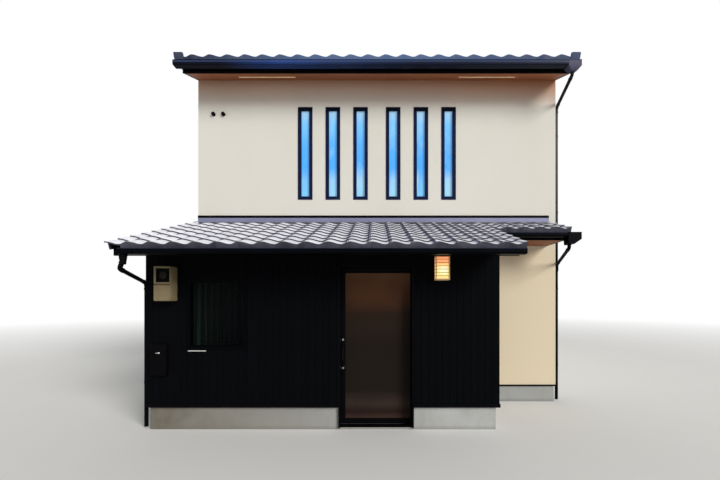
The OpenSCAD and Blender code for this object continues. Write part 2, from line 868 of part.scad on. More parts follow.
// Outline of the rainwater head in X and Z, drawn in from its outside: a box over a taper
hopper_over = 8;
hopper_taper = 74;
hopper_neck = 47;
hopper_neck_w = 80;
hopper_x1 = side_roof_x1 + 116;
hopper_x0 = hopper_x1 - hopper_w;
hopper_top = side_gutter_z + hopper_over;
hopper_foot = hopper_top - hopper_h - hopper_taper;
module hopper_outline(inset, rise) {
    box_z = hopper_foot + hopper_taper;
    neck_x0 = hopper_x0 + hopper_neck - hopper_neck_w / 2 + inset;
    polygon([[hopper_x0 + inset, hopper_top + rise], [hopper_x1 - inset, hopper_top + rise],
             [hopper_x1 - inset, box_z], [neck_x0 + hopper_neck_w - 2 * inset, hopper_foot + inset],
             [neck_x0, hopper_foot + inset], [hopper_x0 + inset, box_z]]);
}

module hopper_shape(y0, y1, inset, rise) {
    translate([0, y1, 0]) rotate([90, 0, 0]) linear_extrude(y1 - y0) hopper_outline(inset, rise);
}

// The gutter under the shallow eave runs into the head over the right-hand pipe
module side_gutter() {
    y = side_nose_y - gutter_reach;
    x0 = side_tiles_x0 + 10;
    y0 = y - hopper_over;
    y1 = y + gutter_w + hopper_over;
    difference() {
        union() {
            gutter_body(x0, hopper_x0 + gutter_t, y, side_gutter_z, lower_gutter_h);
            hopper_shape(y0, y1, 0, 0);
        }
        gutter_hollow(x0 + gutter_t, hopper_x0 + 2 * gutter_t, y, side_gutter_z, lower_gutter_h);
        hopper_shape(y0 + gutter_t, y1 - gutter_t, gutter_t, 1);
    }
    gutter_arms(x0, hopper_x0, y, side_gutter_z, lower_gutter_h, -side_eave - fascia_t);
}

module lower_gutters() {
    color(trim_black) placed() {
        front_gutter();
        union() side_gutter();
    }
}

// A round pipe through a list of points, with a ball elbow at each bend, flat above and below
elbow_r = pipe_r + 13;
elbow_hold = 24;
elbow_flat = elbow_r - 3;
module pipe_run(points) {
    last = len(points) - 2;
    for (i = [0:last]) {
        run = points[i + 1] - points[i];
        length = norm(run);
        start = i == 0 ? 0 : elbow_hold;
        end = i == last ? 0 : elbow_hold;
        translate(points[i]) rotate([0, acos(run[2] / length), atan2(run[1], run[0])])
            translate([0, 0, start]) cylinder(h = length - start - end, r = pipe_r, $fn = 24);
    }
    for (i = [1:len(points) - 2])
        translate(points[i]) intersection() {
            sphere(elbow_r, $fn = 24);
            translate([-elbow_r, -elbow_r, -elbow_flat]) cube([elbow_r * 2, elbow_r * 2, elbow_flat * 2]);
        }
}

// Heights of the clips of a pipe whose straight part ends at the height top
clip_foot = 600;
function clip_heights(top) = [for (z = [clip_foot:clip_pitch:top - clip_foot / 3]) z];
clip_w = 20;
clip_h = 30;

// The flared top under a gutter, which the pipe's upper end stands in
outlet_r = 45;
outlet_lip = 5;
outlet_hold = 25;
module outlet(top, height) {
    translate(top - [0, 0, height])
        cylinder(h = height, r1 = pipe_r + outlet_lip, r2 = outlet_r, $fn = 32);
}

pipe_foot = 20;
gutter_mid = gutter_w / 2 - gutter_reach;
outlet_drop = 70;
elbow_drop = 50;
slant_drop = 145;

// A pipe from an upper gutter's underside down a wall, its foot at the place end
module upper_pipe(top, end) {
    bend = top[2] - outlet_drop - elbow_drop - slant_drop;
    outlet(top, outlet_drop);
    pipe_run([top - [0, 0, outlet_drop - outlet_hold], top - [0, 0, outlet_drop + elbow_drop],
              [end[0], end[1], bend], [end[0], end[1], pipe_foot]]);
}

module downpipe_right() {
    x = half_w + pipe_off;
    neck = [hopper_x0 + hopper_neck, side_nose_y + gutter_mid, hopper_foot];
    bend = neck - [0, 0, elbow_drop];
    branch_drop = 230;
    joint = [x, pipe_back, neck[2] - branch_drop];
    branch = joint - bend;
    socket_h = 150;
    socket_rise = 45;
    socket_r = pipe_r + 15;
    union() {
        upper_pipe([half_w - 40, main_nose_y + gutter_mid, main_gutter_z - main_gutter_h],
                   [x, pipe_back]);
        pipe_run([neck, bend, joint - branch / norm(branch) * pipe_r]);
        translate(joint + [0, 0, socket_rise - socket_h])
            cylinder(h = socket_h, r = socket_r, $fn = 32);
        for (z = clip_heights(main_gutter_z))
            block([half_w, pipe_back - clip_w / 2, z], [x, pipe_back + clip_w / 2, z + clip_h]);
    }
}

module downpipe_left() {
    x = room_x0 - pipe_off;
    y = room_y + pipe_back + 10;
    top = [front_gutter_x0 + 30, front_nose_y + gutter_mid, front_gutter_z - lower_gutter_h];
    neck = 110;
    lean = 40;
    slant = 125;
    union() {
        outlet(top, neck);
        pipe_run([top - [lean / 4, 0, neck - outlet_hold], top - [lean, 0, neck + elbow_drop],
                  [x, y, top[2] - neck - elbow_drop - slant], [x, y, pipe_foot]]);
        for (z = clip_heights(top[2]))
            block([x, y - clip_w / 2, z], [room_x0, y + clip_w / 2, z + clip_h]);
    }
}

back_pipe_in = 150;
module downpipe_back() {
    x = half_w - back_pipe_in;
    y = house_d + pipe_off;
    union() {
        upper_pipe([x, house_d - main_nose_y - gutter_mid, main_gutter_z - main_gutter_h], [x, y]);
        for (z = clip_heights(main_gutter_z))
            block([x - clip_w / 2, house_d, z], [x + clip_w / 2, y, z + clip_h]);
    }
}

module downpipes() {
    color(trim_black) placed() {
        downpipe_right();
        downpipe_left();
        downpipe_back();
    }
}

// A frame of four members round an opening in a wall whose face is at y
module frame_ring(x, z, w, h, y) {
    difference() {
        block([x, y - frame_out, z], [x + w, y - frame_out + frame_d, z + h]);
        block([x + frame_w, y - frame_out - 1, z + frame_w],
              [x + w - frame_w, y - frame_out + frame_d + 1, z + h - frame_w]);
    }
}

// The sheet of glass that fits such a frame
module pane(x, z, w, h, y) {
    mid = y - frame_out + frame_d / 2;
    block([x + frame_w, mid - glass_t / 2, z + frame_w],
          [x + w - frame_w, mid + glass_t / 2, z + h - frame_w]);
}

module slit_rings() {
    for (x = slit_places) frame_ring(x, slit_sill, slit_w, slit_h, 0);
}

module slit_panes() {
    for (x = slit_places) pane(x, slit_sill, slit_w, slit_h, 0);
}

module window_frames() {
    color(trim_black) placed() {
        slit_rings();
        frame_ring(window_x0, window_sill, window_w, window_h, room_y);
        turned_to_back() {
            slit_rings();
            for (x = back_window_places) frame_ring(x, window_sill, window_w, window_h, 0);
        }
    }
}

module slit_window_glass() {
    color(pane_blue) placed() {
        slit_panes();
        turned_to_back() slit_panes();
    }
}

module window_glass() {
    color("#5d6a68") placed() {
        pane(window_x0, window_sill, window_w, window_h, room_y);
        turned_to_back()
            for (x = back_window_places) pane(x, window_sill, window_w, window_h, 0);
    }
}

// The curtain hangs from a rail that is wider than the window
curtain_lap = 60;
curtain_inset = 10;
curtain_y = room_in_y + 45;
curtain_t = 50;
curtain_top = window_sill + window_h + 90;
curtain_foot = window_sill - 90;
module curtain_rail() {
    x0 = window_x0 - curtain_lap;
    x1 = window_x0 + window_w + curtain_lap;
    rail = 25;
    arm = 30;
    y = curtain_y + (curtain_t - arm) / 2;
    color("#b9b3a4") placed() union() {
        block([x0, y, curtain_top], [x1, y + arm, curtain_top + rail]);
        for (x = [x0 + curtain_inset, x1 - curtain_inset - arm])
            block([x, room_in_y, curtain_top + 5], [x + arm, y + arm / 2, curtain_top + rail - 5]);
    }
}

module curtain() {
    reach = curtain_lap - curtain_inset;
    color("#8d958c") placed()
        block([window_x0 - reach, curtain_y, curtain_foot],
              [window_x0 + window_w + reach, curtain_y + curtain_t, curtain_top]);
}

// The lining of the doorway: two jambs and a head, with a low threshold between the jambs
threshold_h = 6;
module door_frame() {
    color(trim_black) placed() union() {
        difference() {
            block([door_x0, room_y, slab_t], [door_x1, room_in_y, door_h]);
            block([door_x0 + lining_t, room_y - 1, slab_t - 1],
                  [door_x1 - lining_t, room_in_y + 1, door_h - lining_t]);
        }
        block([door_x0, room_y + board_lip, slab_t], [door_x1, room_in_y, slab_t + threshold_h]);
    }
}

leaf_x0 = door_x0 + lining_t - leaf_lap_left;
leaf_x1 = door_x1 - lining_t + leaf_lap_right;
leaf_y0 = room_in_y + leaf_gap;
leaf_y1 = leaf_y0 + leaf_t;
leaf_z0 = slab_t + leaf_gap;
leaf_z1 = door_h + 25;
leaf_glass_top = door_h - 90;

// Channel over the leaf, open below, that its hanger runs in
channel_h = 60;
channel_side = 6;
channel_end = 20;
channel_lap = 30;
module door_rail() {
    x0 = leaf_x0 - leaf_gap;
    x1 = leaf_x1 + leaf_travel + leaf_gap;
    z = leaf_z1 - channel_lap;
    color(trim_black) placed() difference() {
        block([x0 - channel_end, room_in_y, z],
              [x1 + channel_end, leaf_y1 + leaf_gap + channel_side, z + channel_h]);
        block([x0, leaf_y0 - leaf_gap + 1, z - 1], [x1, leaf_y1 + leaf_gap, leaf_z1 + leaf_gap]);
    }
}

module door_leaf() {
    color(trim_black) placed() difference() {
        block([leaf_x0, leaf_y0, leaf_z0], [leaf_x1, leaf_y1, leaf_z1]);
        block([leaf_x0 + leaf_rail, leaf_y0 - 1, leaf_z0 + leaf_rail],
              [leaf_x1 - leaf_rail, leaf_y1 + 1, leaf_glass_top]);
    }
}

module door_glass() {
    mid = (leaf_y0 + leaf_y1) / 2;
    color("#5a4032") placed()
        block([leaf_x0 + leaf_rail, mid - glass_t / 2, leaf_z0 + leaf_rail],
              [leaf_x1 - leaf_rail, mid + glass_t / 2, leaf_glass_top]);
}

// A long plate with a grip and two round locks, standing out of the left stile
handle_z = 690;
handle_h = 535;
plate_w = 32;
plate_out = 8;
lock_r = 15;
lock_out = 10;
lock_heights = [100, 485];
grip_w = 18;
grip_out = 50;
grip_t = 15;
grip_heights = [205, 375];
post_w = 12;
post_h = 20;
module door_handle() {
    x = leaf_x0 + leaf_rail - plate_w;
    plate_y = leaf_y0 - plate_out;
    grip_y = plate_y - grip_out;
    color("#8b8b90") placed() translate([0, 0, handle_z]) union() {
        block([x - plate_w / 2, plate_y, 0], [x + plate_w / 2, leaf_y0, handle_h]);
        for (z = lock_heights)
            translate([x, plate_y, z]) rotate([90, 0, 0]) cylinder(h = lock_out, r = lock_r, $fn = 32);
        for (z = [grip_heights[0] + 10, grip_heights[1] - 10 - post_h])
            block([x - post_w / 2, grip_y + grip_t, z], [x + post_w / 2, plate_y, z + post_h]);
        block([x - grip_w / 2, grip_y, grip_heights[0]],
              [x + grip_w / 2, grip_y + grip_t, grip_heights[1]]);
    }
}

// A slatted cage over a lit inner box
lamp_cap = 16;
lamp_bar = 10;
lamp_back = 8;
lamp_slat = 5;
lamp_slat_t = 8;
shade_gap = 14;
lamp_low = [door_x1 + lamp_off, room_y - lamp_d, door_h + lamp_over - lamp_h];
lamp_high = lamp_low + [lamp_w, lamp_d, lamp_h];
module lamp_frame() {
    low = lamp_low;
    high = lamp_high;
    step = (lamp_h - 2 * lamp_cap) / lamp_slats;
    color(trim_black) placed() union() {
        block(low, [high[0], high[1], low[2] + lamp_cap]);
        block([low[0], low[1], high[2] - lamp_cap], high);
        block([low[0], high[1] - lamp_back, low[2]], high);
        for (x = [low[0], high[0] - lamp_bar])
            block([x, low[1], low[2]], [x + lamp_bar, low[1] + lamp_bar, high[2]]);
        for (i = [1:lamp_slats - 1])
            difference() {
                z = low[2] + lamp_cap + i * step - lamp_slat / 2;
                block([low[0], low[1], z], [high[0], high[1], z + lamp_slat]);
                block([low[0] + lamp_slat_t, low[1] + lamp_slat_t, z - 1],
                      [high[0] - lamp_slat_t, high[1] + 1, z + lamp_slat + 1]);
            }
    }
}

module lamp_shade() {
    color("#ffe0b0") placed()
        block(lamp_low + [shade_gap, shade_gap, lamp_cap],
              lamp_high - [shade_gap, lamp_back, lamp_cap]);
}

// A box with a sunk window near its top
meter_window_left = 40;
meter_window_right = 11;
meter_window_top = 40;
meter_window_h = 167;
meter_window_in = 12;
module meter_box() {
    x = room_x0 + meter_x;
    y = room_y - meter_d;
    top = meter_z + meter_h;
    color("#cfc6ae") placed() difference() {
        block([x, y, meter_z], [x + meter_w, room_y, top]);
        block([x + meter_window_left, y - 1, top - meter_window_top - meter_window_h],
              [x + meter_w - meter_window_right, y + meter_window_in, top - meter_window_top]);
    }
}

// A light bar under the front window's frame, with the flap's finger gap along its foot
module letter_slot() {
    x = window_x0 + 20;
    out = 18;
    lip = 5;
    color("#dcdad2") placed() difference() {
        block([x, room_y - out, window_sill - letter_h], [x + letter_w, room_y, window_sill]);
        block([x + lip, room_y - out - 1, window_sill - letter_h - 1],
              [x + letter_w - lip, room_y - out + lip, window_sill - letter_h + lip]);
    }
}

// A flat box with a lever latch across its door
utility_in = 86;
latch_w = 52;
latch_h = 13;
latch_out = 8;
latch_in = 80;
latch_drop = 103;
module utility_box() {
    x = room_x0 + utility_in;
    y = room_y - utility_d;
    latch_z = utility_z + utility_h - latch_drop;
    color(board_black) placed() union() {
        block([x, y, utility_z], [x + utility_w, room_y, utility_z + utility_h]);
        block([x + latch_in, y - latch_out, latch_z - latch_h],
              [x + latch_in + latch_w, y + 1, latch_z]);
    }
}

// Two round caps where cables enter the upper wall
cap_r = 30;
cap_out = 40;
cap_in = 264;
cap_pitch = 166;
cap_drop = 578;
module cable_caps() {
    color(trim_black) placed()
        for (i = [0, 1])
            translate([cap_in + i * cap_pitch - half_w, 0, eave_h - cap_drop]) rotate([90, 0, 0])
                cylinder(h = cap_out, r = cap_r, $fn = 32);
}

ground_slab();
side_foundations();
cross_foundations();
drip_flashings();
front_wall_left();
front_wall_right();
front_wall_head();
front_side_walls();
gable_walls();
lower_front_wall();
upper_front_wall();
back_wall();
upper_floor();
front_roof_deck();
side_roof_deck();
lower_roof_tiles();
front_soffit();
side_soffit();
wall_flashing();
roof_deck_front();
roof_deck_back();
upper_roof_tiles();
ridge();
soffit_vents();
fascias();
barge_boards();
upper_gutters();
lower_gutters();
downpipes();
window_frames();
slit_window_glass();
window_glass();
curtain_rail();
curtain();
door_frame();
door_rail();
door_leaf();
door_glass();
door_handle();
lamp_frame();
lamp_shade();
meter_box();
letter_slot();
utility_box();
cable_caps();
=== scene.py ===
"""Looks of a machiya townhouse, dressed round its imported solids.

Lengths are in metres.
"""
import math
import random

import bmesh
import bpy
import numpy as np
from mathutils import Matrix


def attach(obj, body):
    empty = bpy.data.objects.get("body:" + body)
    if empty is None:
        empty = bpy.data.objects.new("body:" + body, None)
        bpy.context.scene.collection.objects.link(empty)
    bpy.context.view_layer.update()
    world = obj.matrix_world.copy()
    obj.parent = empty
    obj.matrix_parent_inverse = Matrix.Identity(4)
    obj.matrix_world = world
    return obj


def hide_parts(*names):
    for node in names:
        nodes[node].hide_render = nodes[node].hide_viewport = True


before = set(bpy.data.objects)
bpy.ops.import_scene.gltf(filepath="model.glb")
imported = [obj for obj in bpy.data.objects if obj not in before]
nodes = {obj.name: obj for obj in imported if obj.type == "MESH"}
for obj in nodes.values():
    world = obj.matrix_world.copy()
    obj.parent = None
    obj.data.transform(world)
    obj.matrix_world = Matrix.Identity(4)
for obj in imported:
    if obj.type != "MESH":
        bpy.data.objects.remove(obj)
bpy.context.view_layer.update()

# The frame's origin is under the middle of the whole house
HOUSE_TO_FRAME = np.array([0.0155, -2.970, 0.0])

HOUSE_D = 7.3
RIDGE_Y = 3.65
ROOM_X0, ROOM_X1, ROOM_Y = -3.0445, 1.6045, -1.263
ROOM_BASE_TOP = 0.346

# Openings in the front room's wall, as x0, x1, z0, z1
DOORWAY = (-0.5135, 0.4805, 0.0, 2.170)
WINDOW = (-2.5145, -1.7115, 1.056, 1.990)

# Roof planes: where the tiles' noses stand on the deck, and its slope
MAIN_ANGLE = math.atan(0.4)
FRONT_ANGLE = math.atan(0.35)
MAIN_NOSE = (-0.550, 5.3669)
FRONT_NOSE = (-1.910, 2.2936)
SIDE_NOSE = (-0.660, 2.7311)


# Mesh building

def rectangle(x0, y0, x1, y1):
    """The four corners between two opposite ones, anticlockwise."""
    return [(x0, y0), (x1, y0), (x1, y1), (x0, y1)]


def unit(line):
    return line / np.linalg.norm(line)


def circle(radius, sides):
    turn = [2 * math.pi * k / sides for k in range(sides)]
    return [(radius * math.cos(a), radius * math.sin(a)) for a in turn]


def quarter(x, z, radius, start, steps):
    """A quarter of a circle round a place, from an angle in degrees."""
    turn = [math.radians(start + 90 * k / steps) for k in range(steps + 1)]
    return [(x + radius * math.cos(a), z + radius * math.sin(a)) for a in turn]


def add_object(name, data):
    made = bpy.data.objects.new(name, data)
    bpy.context.scene.collection.objects.link(made)
    return made


def add_mesh(name, points, faces):
    """An object in the scene from points in the frame."""
    mesh = bpy.data.meshes.new(name)
    mesh.from_pydata(points, [], faces)
    return add_object(name, mesh)


class Shape:
    """Collects many small solids in house coordinates and turns them into one piece."""

    def __init__(self):
        self.points, self.faces, self.count = [], [], 0

    def add(self, points, faces):
        points = np.asarray(points, float).reshape(-1, 3)
        self.points.append(points)
        self.faces.extend([tuple(i + self.count for i in f) for f in faces])
        self.count += len(points)

    def hexa(self, corners):
        """A solid with eight corners: four round the bottom, then four above them."""
        self.add(corners, [(3, 2, 1, 0), (4, 5, 6, 7), (0, 1, 5, 4), (1, 2, 6, 5),
                           (2, 3, 7, 6), (3, 0, 4, 7)])

    def box(self, low, high):
        (x0, y0, z0), (x1, y1, z1) = low, high
        self.hexa([(x, y, z) for z in (z0, z1) for x, y in rectangle(x0, y0, x1, y1)])

    def skin(self, rows):
        """A closed solid through equal loops of points, capped at both ends."""
        n = len(rows[0])
        last = (len(rows) - 1) * n
        faces = [(a + i, a + (i + 1) % n, a + n + (i + 1) % n, a + n + i)
                 for a in range(0, last, n) for i in range(n)]
        self.add(rows, faces + [range(n - 1, -1, -1), range(last, last + n)])

    def plate(self, top, bottom):
        """A closed solid between two equal grids of points, given as [row][column]."""
        rows, cols = len(top), len(top[0])
        at = np.arange(rows * cols).reshape(rows, cols)
        under = at.size
        quads = np.stack([at[:-1, :-1], at[:-1, 1:], at[1:, 1:], at[1:, :-1]], -1).reshape(-1, 4)
        faces = np.stack([quads, (quads + under)[:, ::-1]], 1).reshape(-1, 4).tolist()
        ring = [*at[0], *at[1:, -1], *at[-1, -2::-1], *at[-2:0:-1, 0]]
        faces += [(b, a, under + a, under + b) for a, b in zip(ring, ring[1:] + ring[:1])]
        self.add([top, bottom], faces)

    def disc(self, centre, radius, length, axis="y", sides=28, round_edge=0.0):
        """A round solid along an axis from its centre, its far edge rounded off."""
        steps = [(0.0, radius), (length - round_edge, radius)]
        if round_edge:
            steps += [(length - round_edge * (1 - math.sin(a)), radius - round_edge * (1 - math.cos(a)))
                      for a in (0.5, 1.0, math.pi / 2)]
        order = {"x": (2, 0, 1), "y": (0, 2, 1), "z": (0, 1, 2)}[axis]
        loops = [np.array([(a, b, d) for a, b in circle(r, sides)]) for d, r in steps]
        self.skin([loop[:, order] + centre for loop in loops])

    def tube(self, path, radius, sides=20):
        """A round pipe that follows a line of points."""
        path = np.asarray(path, float)
        runs_along_x = np.abs(path[1] - path[0]).argmax() == 0
        rows, side = [], np.array([0.0, 1.0, 0.0] if runs_along_x else [1.0, 0.0, 0.0])
        for i, p in enumerate(path):
            ahead = unit(path[min(i + 1, len(path) - 1)] - path[max(i - 1, 0)])
            side = unit(side - ahead * (side @ ahead))
            up = np.cross(ahead, side)
            rows.append([p + a * side + b * up for a, b in circle(radius, sides)])
        self.skin(rows)

    def finish(self, name, material, slot, replaces=(), body="house", bevel=0.0):
        """Makes the piece: its mesh, finish, body, and the solids that it stands for."""
        points = np.concatenate(self.points) + HOUSE_TO_FRAME
        piece = add_mesh(name, points.tolist(), self.faces)
        mesh = piece.data
        mesh.validate()
        work = bmesh.new()
        work.from_mesh(mesh)
        bmesh.ops.recalc_face_normals(work, faces=work.faces)
        work.to_mesh(mesh)
        work.free()
        mesh.polygons.foreach_set("use_smooth", [True] * len(mesh.polygons))
        mesh.set_sharp_from_angle(angle=math.radians(30))
        mesh.materials.append(material)
        if bevel:
            cut = piece.modifiers.new("Edges", "BEVEL")
            cut.width, cut.segments, cut.limit_method = bevel, 2, "ANGLE"
            cut.angle_limit = math.radians(40)
        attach(piece, body)
        if replaces:
            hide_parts(*replaces)


def rounded_path(points, radius, steps=7):
    """The line through points, with its corners rounded off."""
    points = np.asarray(points, float)
    line = [points[0]]
    for before, corner, after in zip(points, points[1:], points[2:]):
        into, out = corner - before, after - corner
        reach = min(radius, np.linalg.norm(into) * 0.45, np.linalg.norm(out) * 0.45)
        start, end = corner - unit(into) * reach, corner + unit(out) * reach
        line += [(1 - t) ** 2 * start + 2 * t * (1 - t) * corner + t ** 2 * end
                 for t in (k / steps for k in range(steps + 1))]
    return [*line, points[-1]]


# Materials

WHITE = (1, 1, 1, 1)


def srgb(rgb, dim=1.0):
    """The linear colour of three sRGB values from 0 to 255, dimmed by a factor."""
    def linear(v):
        v /= 255
        return dim * (v / 12.92 if v <= 0.04045 else ((v + 0.055) / 1.055) ** 2.4)
    return tuple(linear(v) for v in rgb) + (1.0,)


def add_node(tree, kind, inputs=None, **settings):
    """A node with some settings; each input takes a value, or a link from another node's output."""
    made = tree.nodes.new(kind)
    for name, value in settings.items():
        setattr(made, name, value)
    for socket, value in (inputs or {}).items():
        if isinstance(value, bpy.types.NodeSocket):
            tree.links.new(value, made.inputs[socket])
        else:
            made.inputs[socket].default_value = value
    return made


class Finish:
    """A node material built round one Principled shader. Its colours are given as sRGB values.

    Masks run from 0 to 1, and most are a value's spread. Its ends are low and high, of its own
    range, and then to_low and to_high, which these become.
    """

    def __init__(self, name, rgb, roughness=0.6, metallic=0.0, specular=0.5):
        self.material = bpy.data.materials.new(name)
        self.material.use_nodes = True
        self.tree = self.material.node_tree
        self.shader = self.tree.nodes["Principled BSDF"]
        self.colour, self.height = srgb(rgb), None
        self.uniform({"Base Color": self.colour, "Roughness": roughness, "Metallic": metallic,
                      "Specular IOR Level": specular})
        self.place = self.node("ShaderNodeTexCoord").outputs["Object"]

    def node(self, kind, inputs=None, **settings):
        return add_node(self.tree, kind, inputs, **settings)

    def uniform(self, values):
        """Sets values that are the same all over on the shader's own sockets."""
        for socket, value in values.items():
            self.shader.inputs[socket].default_value = value

    def feed(self, socket, output):
        self.tree.links.new(output, self.shader.inputs[socket])
        return self

    def noise(self, scale, stretch=(1, 1, 1), detail=4.0, rough=0.55):
        mapped = self.node("ShaderNodeMapping", {"Vector": self.place, "Scale": stretch})
        return self.node("ShaderNodeTexNoise", {
            "Vector": mapped.outputs["Vector"], "Scale": scale, "Detail": detail,
            "Roughness": rough}).outputs["Fac"]

    def spread(self, value, low, high, to_low=0.0, to_high=1.0):
        """Maps a value from one range to another."""
        return self.node("ShaderNodeMapRange", {
            "Value": value, "From Min": low, "From Max": high, "To Min": to_low,
            "To Max": to_high}).outputs["Result"]

    def both(self, first, second):
        """High only where both masks are high."""
        return self.node("ShaderNodeMath", {0: first, 1: second}, operation="MULTIPLY").outputs[0]

    def part_of(self, vector, name):
        return self.node("ShaderNodeSeparateXYZ", {"Vector": vector}).outputs[name]

    def facing(self, name):
        """How far a surface faces along an axis."""
        return self.part_of(self.node("ShaderNodeNewGeometry").outputs["Normal"], name)

    def along(self, name, *ends):
        """A mask by the place along an axis."""
        return self.spread(self.part_of(self.place, name), *ends)

    def faces(self, name, *ends):
        """A mask by how far a surface faces along an axis."""
        return self.spread(self.facing(name), *ends)

    def band(self, name, rise, fall, top=1.0, after=0.0):
        """A mask that rises to its top over one range of an axis and falls over another."""
        return self.both(self.along(name, *rise, 0.0, top), self.along(name, *fall, 1.0, after))

    def islands(self, low, high):
        """A different number for each loose part, from low to high."""
        own = self.node("ShaderNodeNewGeometry").outputs["Random Per Island"]
        return self.spread(own, 0.0, 1.0, low, high)

    def near(self, centre, inner, outer):
        """High within a distance of a place in house coordinates, and nothing past another."""
        gap = self.node("ShaderNodeVectorMath", {
            0: self.place, 1: tuple(np.asarray(centre) + HOUSE_TO_FRAME)}, operation="DISTANCE")
        return self.spread(gap.outputs["Value"], inner, outer, 1.0, 0.0)

    def paint(self, output):
        self.colour = output
        return self.feed("Base Color", output)

    def tint(self, mask, rgb, dim=1.0):
        """Mixes a colour into the base where the mask is high."""
        mix = self.node("ShaderNodeMix", {"Factor": mask, "A": self.colour, "B": srgb(rgb, dim)},
                        data_type="RGBA")
        return self.paint(mix.outputs["Result"])

    def mottle(self, scale, low, high, amount, rgb, stretch=(1, 1, 1), detail=4.0):
        """Tints patches, by up to the given amount where a noise is high."""
        return self.tint(self.spread(self.noise(scale, stretch, detail), low, high, 0.0, amount), rgb)

    def ramp(self, value, *stops):
        """Colours along a value, as pairs of place and colour."""
        made = self.node("ShaderNodeValToRGB", {"Fac": value})
        elements = made.color_ramp.elements
        while len(elements) < len(stops):
            elements.new(0.5)
        for element, (place, rgb) in zip(elements, stops):
            element.position, element.color = place, srgb(rgb)
        return self.paint(made.outputs["Color"])

    def wear(self, mask, low, high):
        """Roughness from low to high over a mask."""
        return self.feed("Roughness", self.spread(mask, 0.3, 0.7, low, high))

    def bump(self, value, distance, strength=1.0):
        made = self.node("ShaderNodeBump", {"Distance": distance, "Strength": strength, "Height": value})
        if self.height is not None:
            self.tree.links.new(self.height, made.inputs["Normal"])
        self.height = made.outputs["Normal"]
        return self.feed("Normal", self.height)

    def coated(self, low, high):
        """The slight unevenness of a paint, in its gloss and its surface."""
        self.wear(self.noise(30.0), low, high)
        return self.bump(self.noise(220.0, detail=3.0), 0.0004, 0.4).material

    def glow(self, strength):
        """Gives light in its own colours."""
        self.feed("Emission Color", self.colour)
        self.uniform({"Emission Strength": strength})


def plaster_finish():
    """Cream, with painted warm shade under the eaves and painted warm light low at the right of the
    front.
    """
    f = Finish("cream_plaster", (211, 208, 199), 0.88, specular=0.1)
    f.mottle(0.9, 0.35, 0.7, 0.4, (205, 202, 191))
    f.mottle(1.6, 0.5, 0.8, 0.25, (200, 194, 180), (1, 1, 0.15))
    f.mottle(170.0, 0.45, 0.75, 0.3, (194, 188, 172), detail=2.0)
    front_or_back = f.spread(f.both(f.facing("Y"), f.facing("Y")), 0.5, 0.9)
    # Painted warm shade under the eaves of the front and back, more orange towards the right.
    painted_eave_shade = f.both(f.along("Z", 4.95, 5.42, 0.0, 0.75), front_or_back)
    f.tint(painted_eave_shade, (162, 106, 58))
    f.tint(f.both(painted_eave_shade, f.along("X", -0.5, 2.6, 0.0, 0.7)), (156, 86, 26))
    # Painted warm light low on the right of the front wall.
    painted_low_right_light = f.both(f.along("Z", 2.5, 2.9, 0.85, 0.0), f.along("X", 1.4, 1.6))
    f.tint(f.both(painted_low_right_light, f.faces("Y", -0.9, -0.5, 1.0, 0.0)), (216, 199, 168))
    grain = f.noise(120.0, detail=6.0, rough=0.7)
    f.wear(grain, 0.82, 0.95)
    f.bump(f.noise(2.5), 0.004, 0.3)
    return f.bump(grain, 0.0025, 0.8).material


def board_finish():
    f = Finish("black_boards", (7, 8, 11), 0.7, specular=0.02)
    f.tint(f.islands(0.0, 0.7), (5, 6, 8))
    grain = f.noise(42.0, (1, 1, 0.05), 6.0, 0.65)
    f.tint(f.spread(grain, 0.45, 0.75, 0.0, 0.5), (12, 12, 15))
    f.wear(grain, 0.6, 0.8)
    return f.bump(grain, 0.0012, 0.7).material


def concrete_finish():
    """Grey, with painted shade darker towards the left, darker towards the back, and darker along its
    foot.
    """
    f = Finish("concrete", (176, 178, 176), 0.85, specular=0.1)
    # Painted shade, darker towards the left.
    f.tint(f.along("X", -3.0, 1.0, 1.0, 0.0), (100, 93, 81))
    f.tint(f.along("Y", -4.0, -3.3, 0.0, 0.5), (136, 137, 137))
    f.mottle(3.0, 0.35, 0.7, 0.4, (150, 148, 141))
    f.mottle(9.0, 0.5, 0.8, 0.3, (134, 131, 123), (1, 1, 0.2))
    f.mottle(140.0, 0.55, 0.75, 0.5, (122, 120, 113), detail=2.0)
    f.tint(f.along("Z", 0.0, 0.06, 0.5, 0.0), (112, 108, 99))
    pores = f.noise(95.0, detail=5.0)
    f.wear(pores, 0.78, 0.93)
    return f.bump(pores, 0.002, 0.7).material


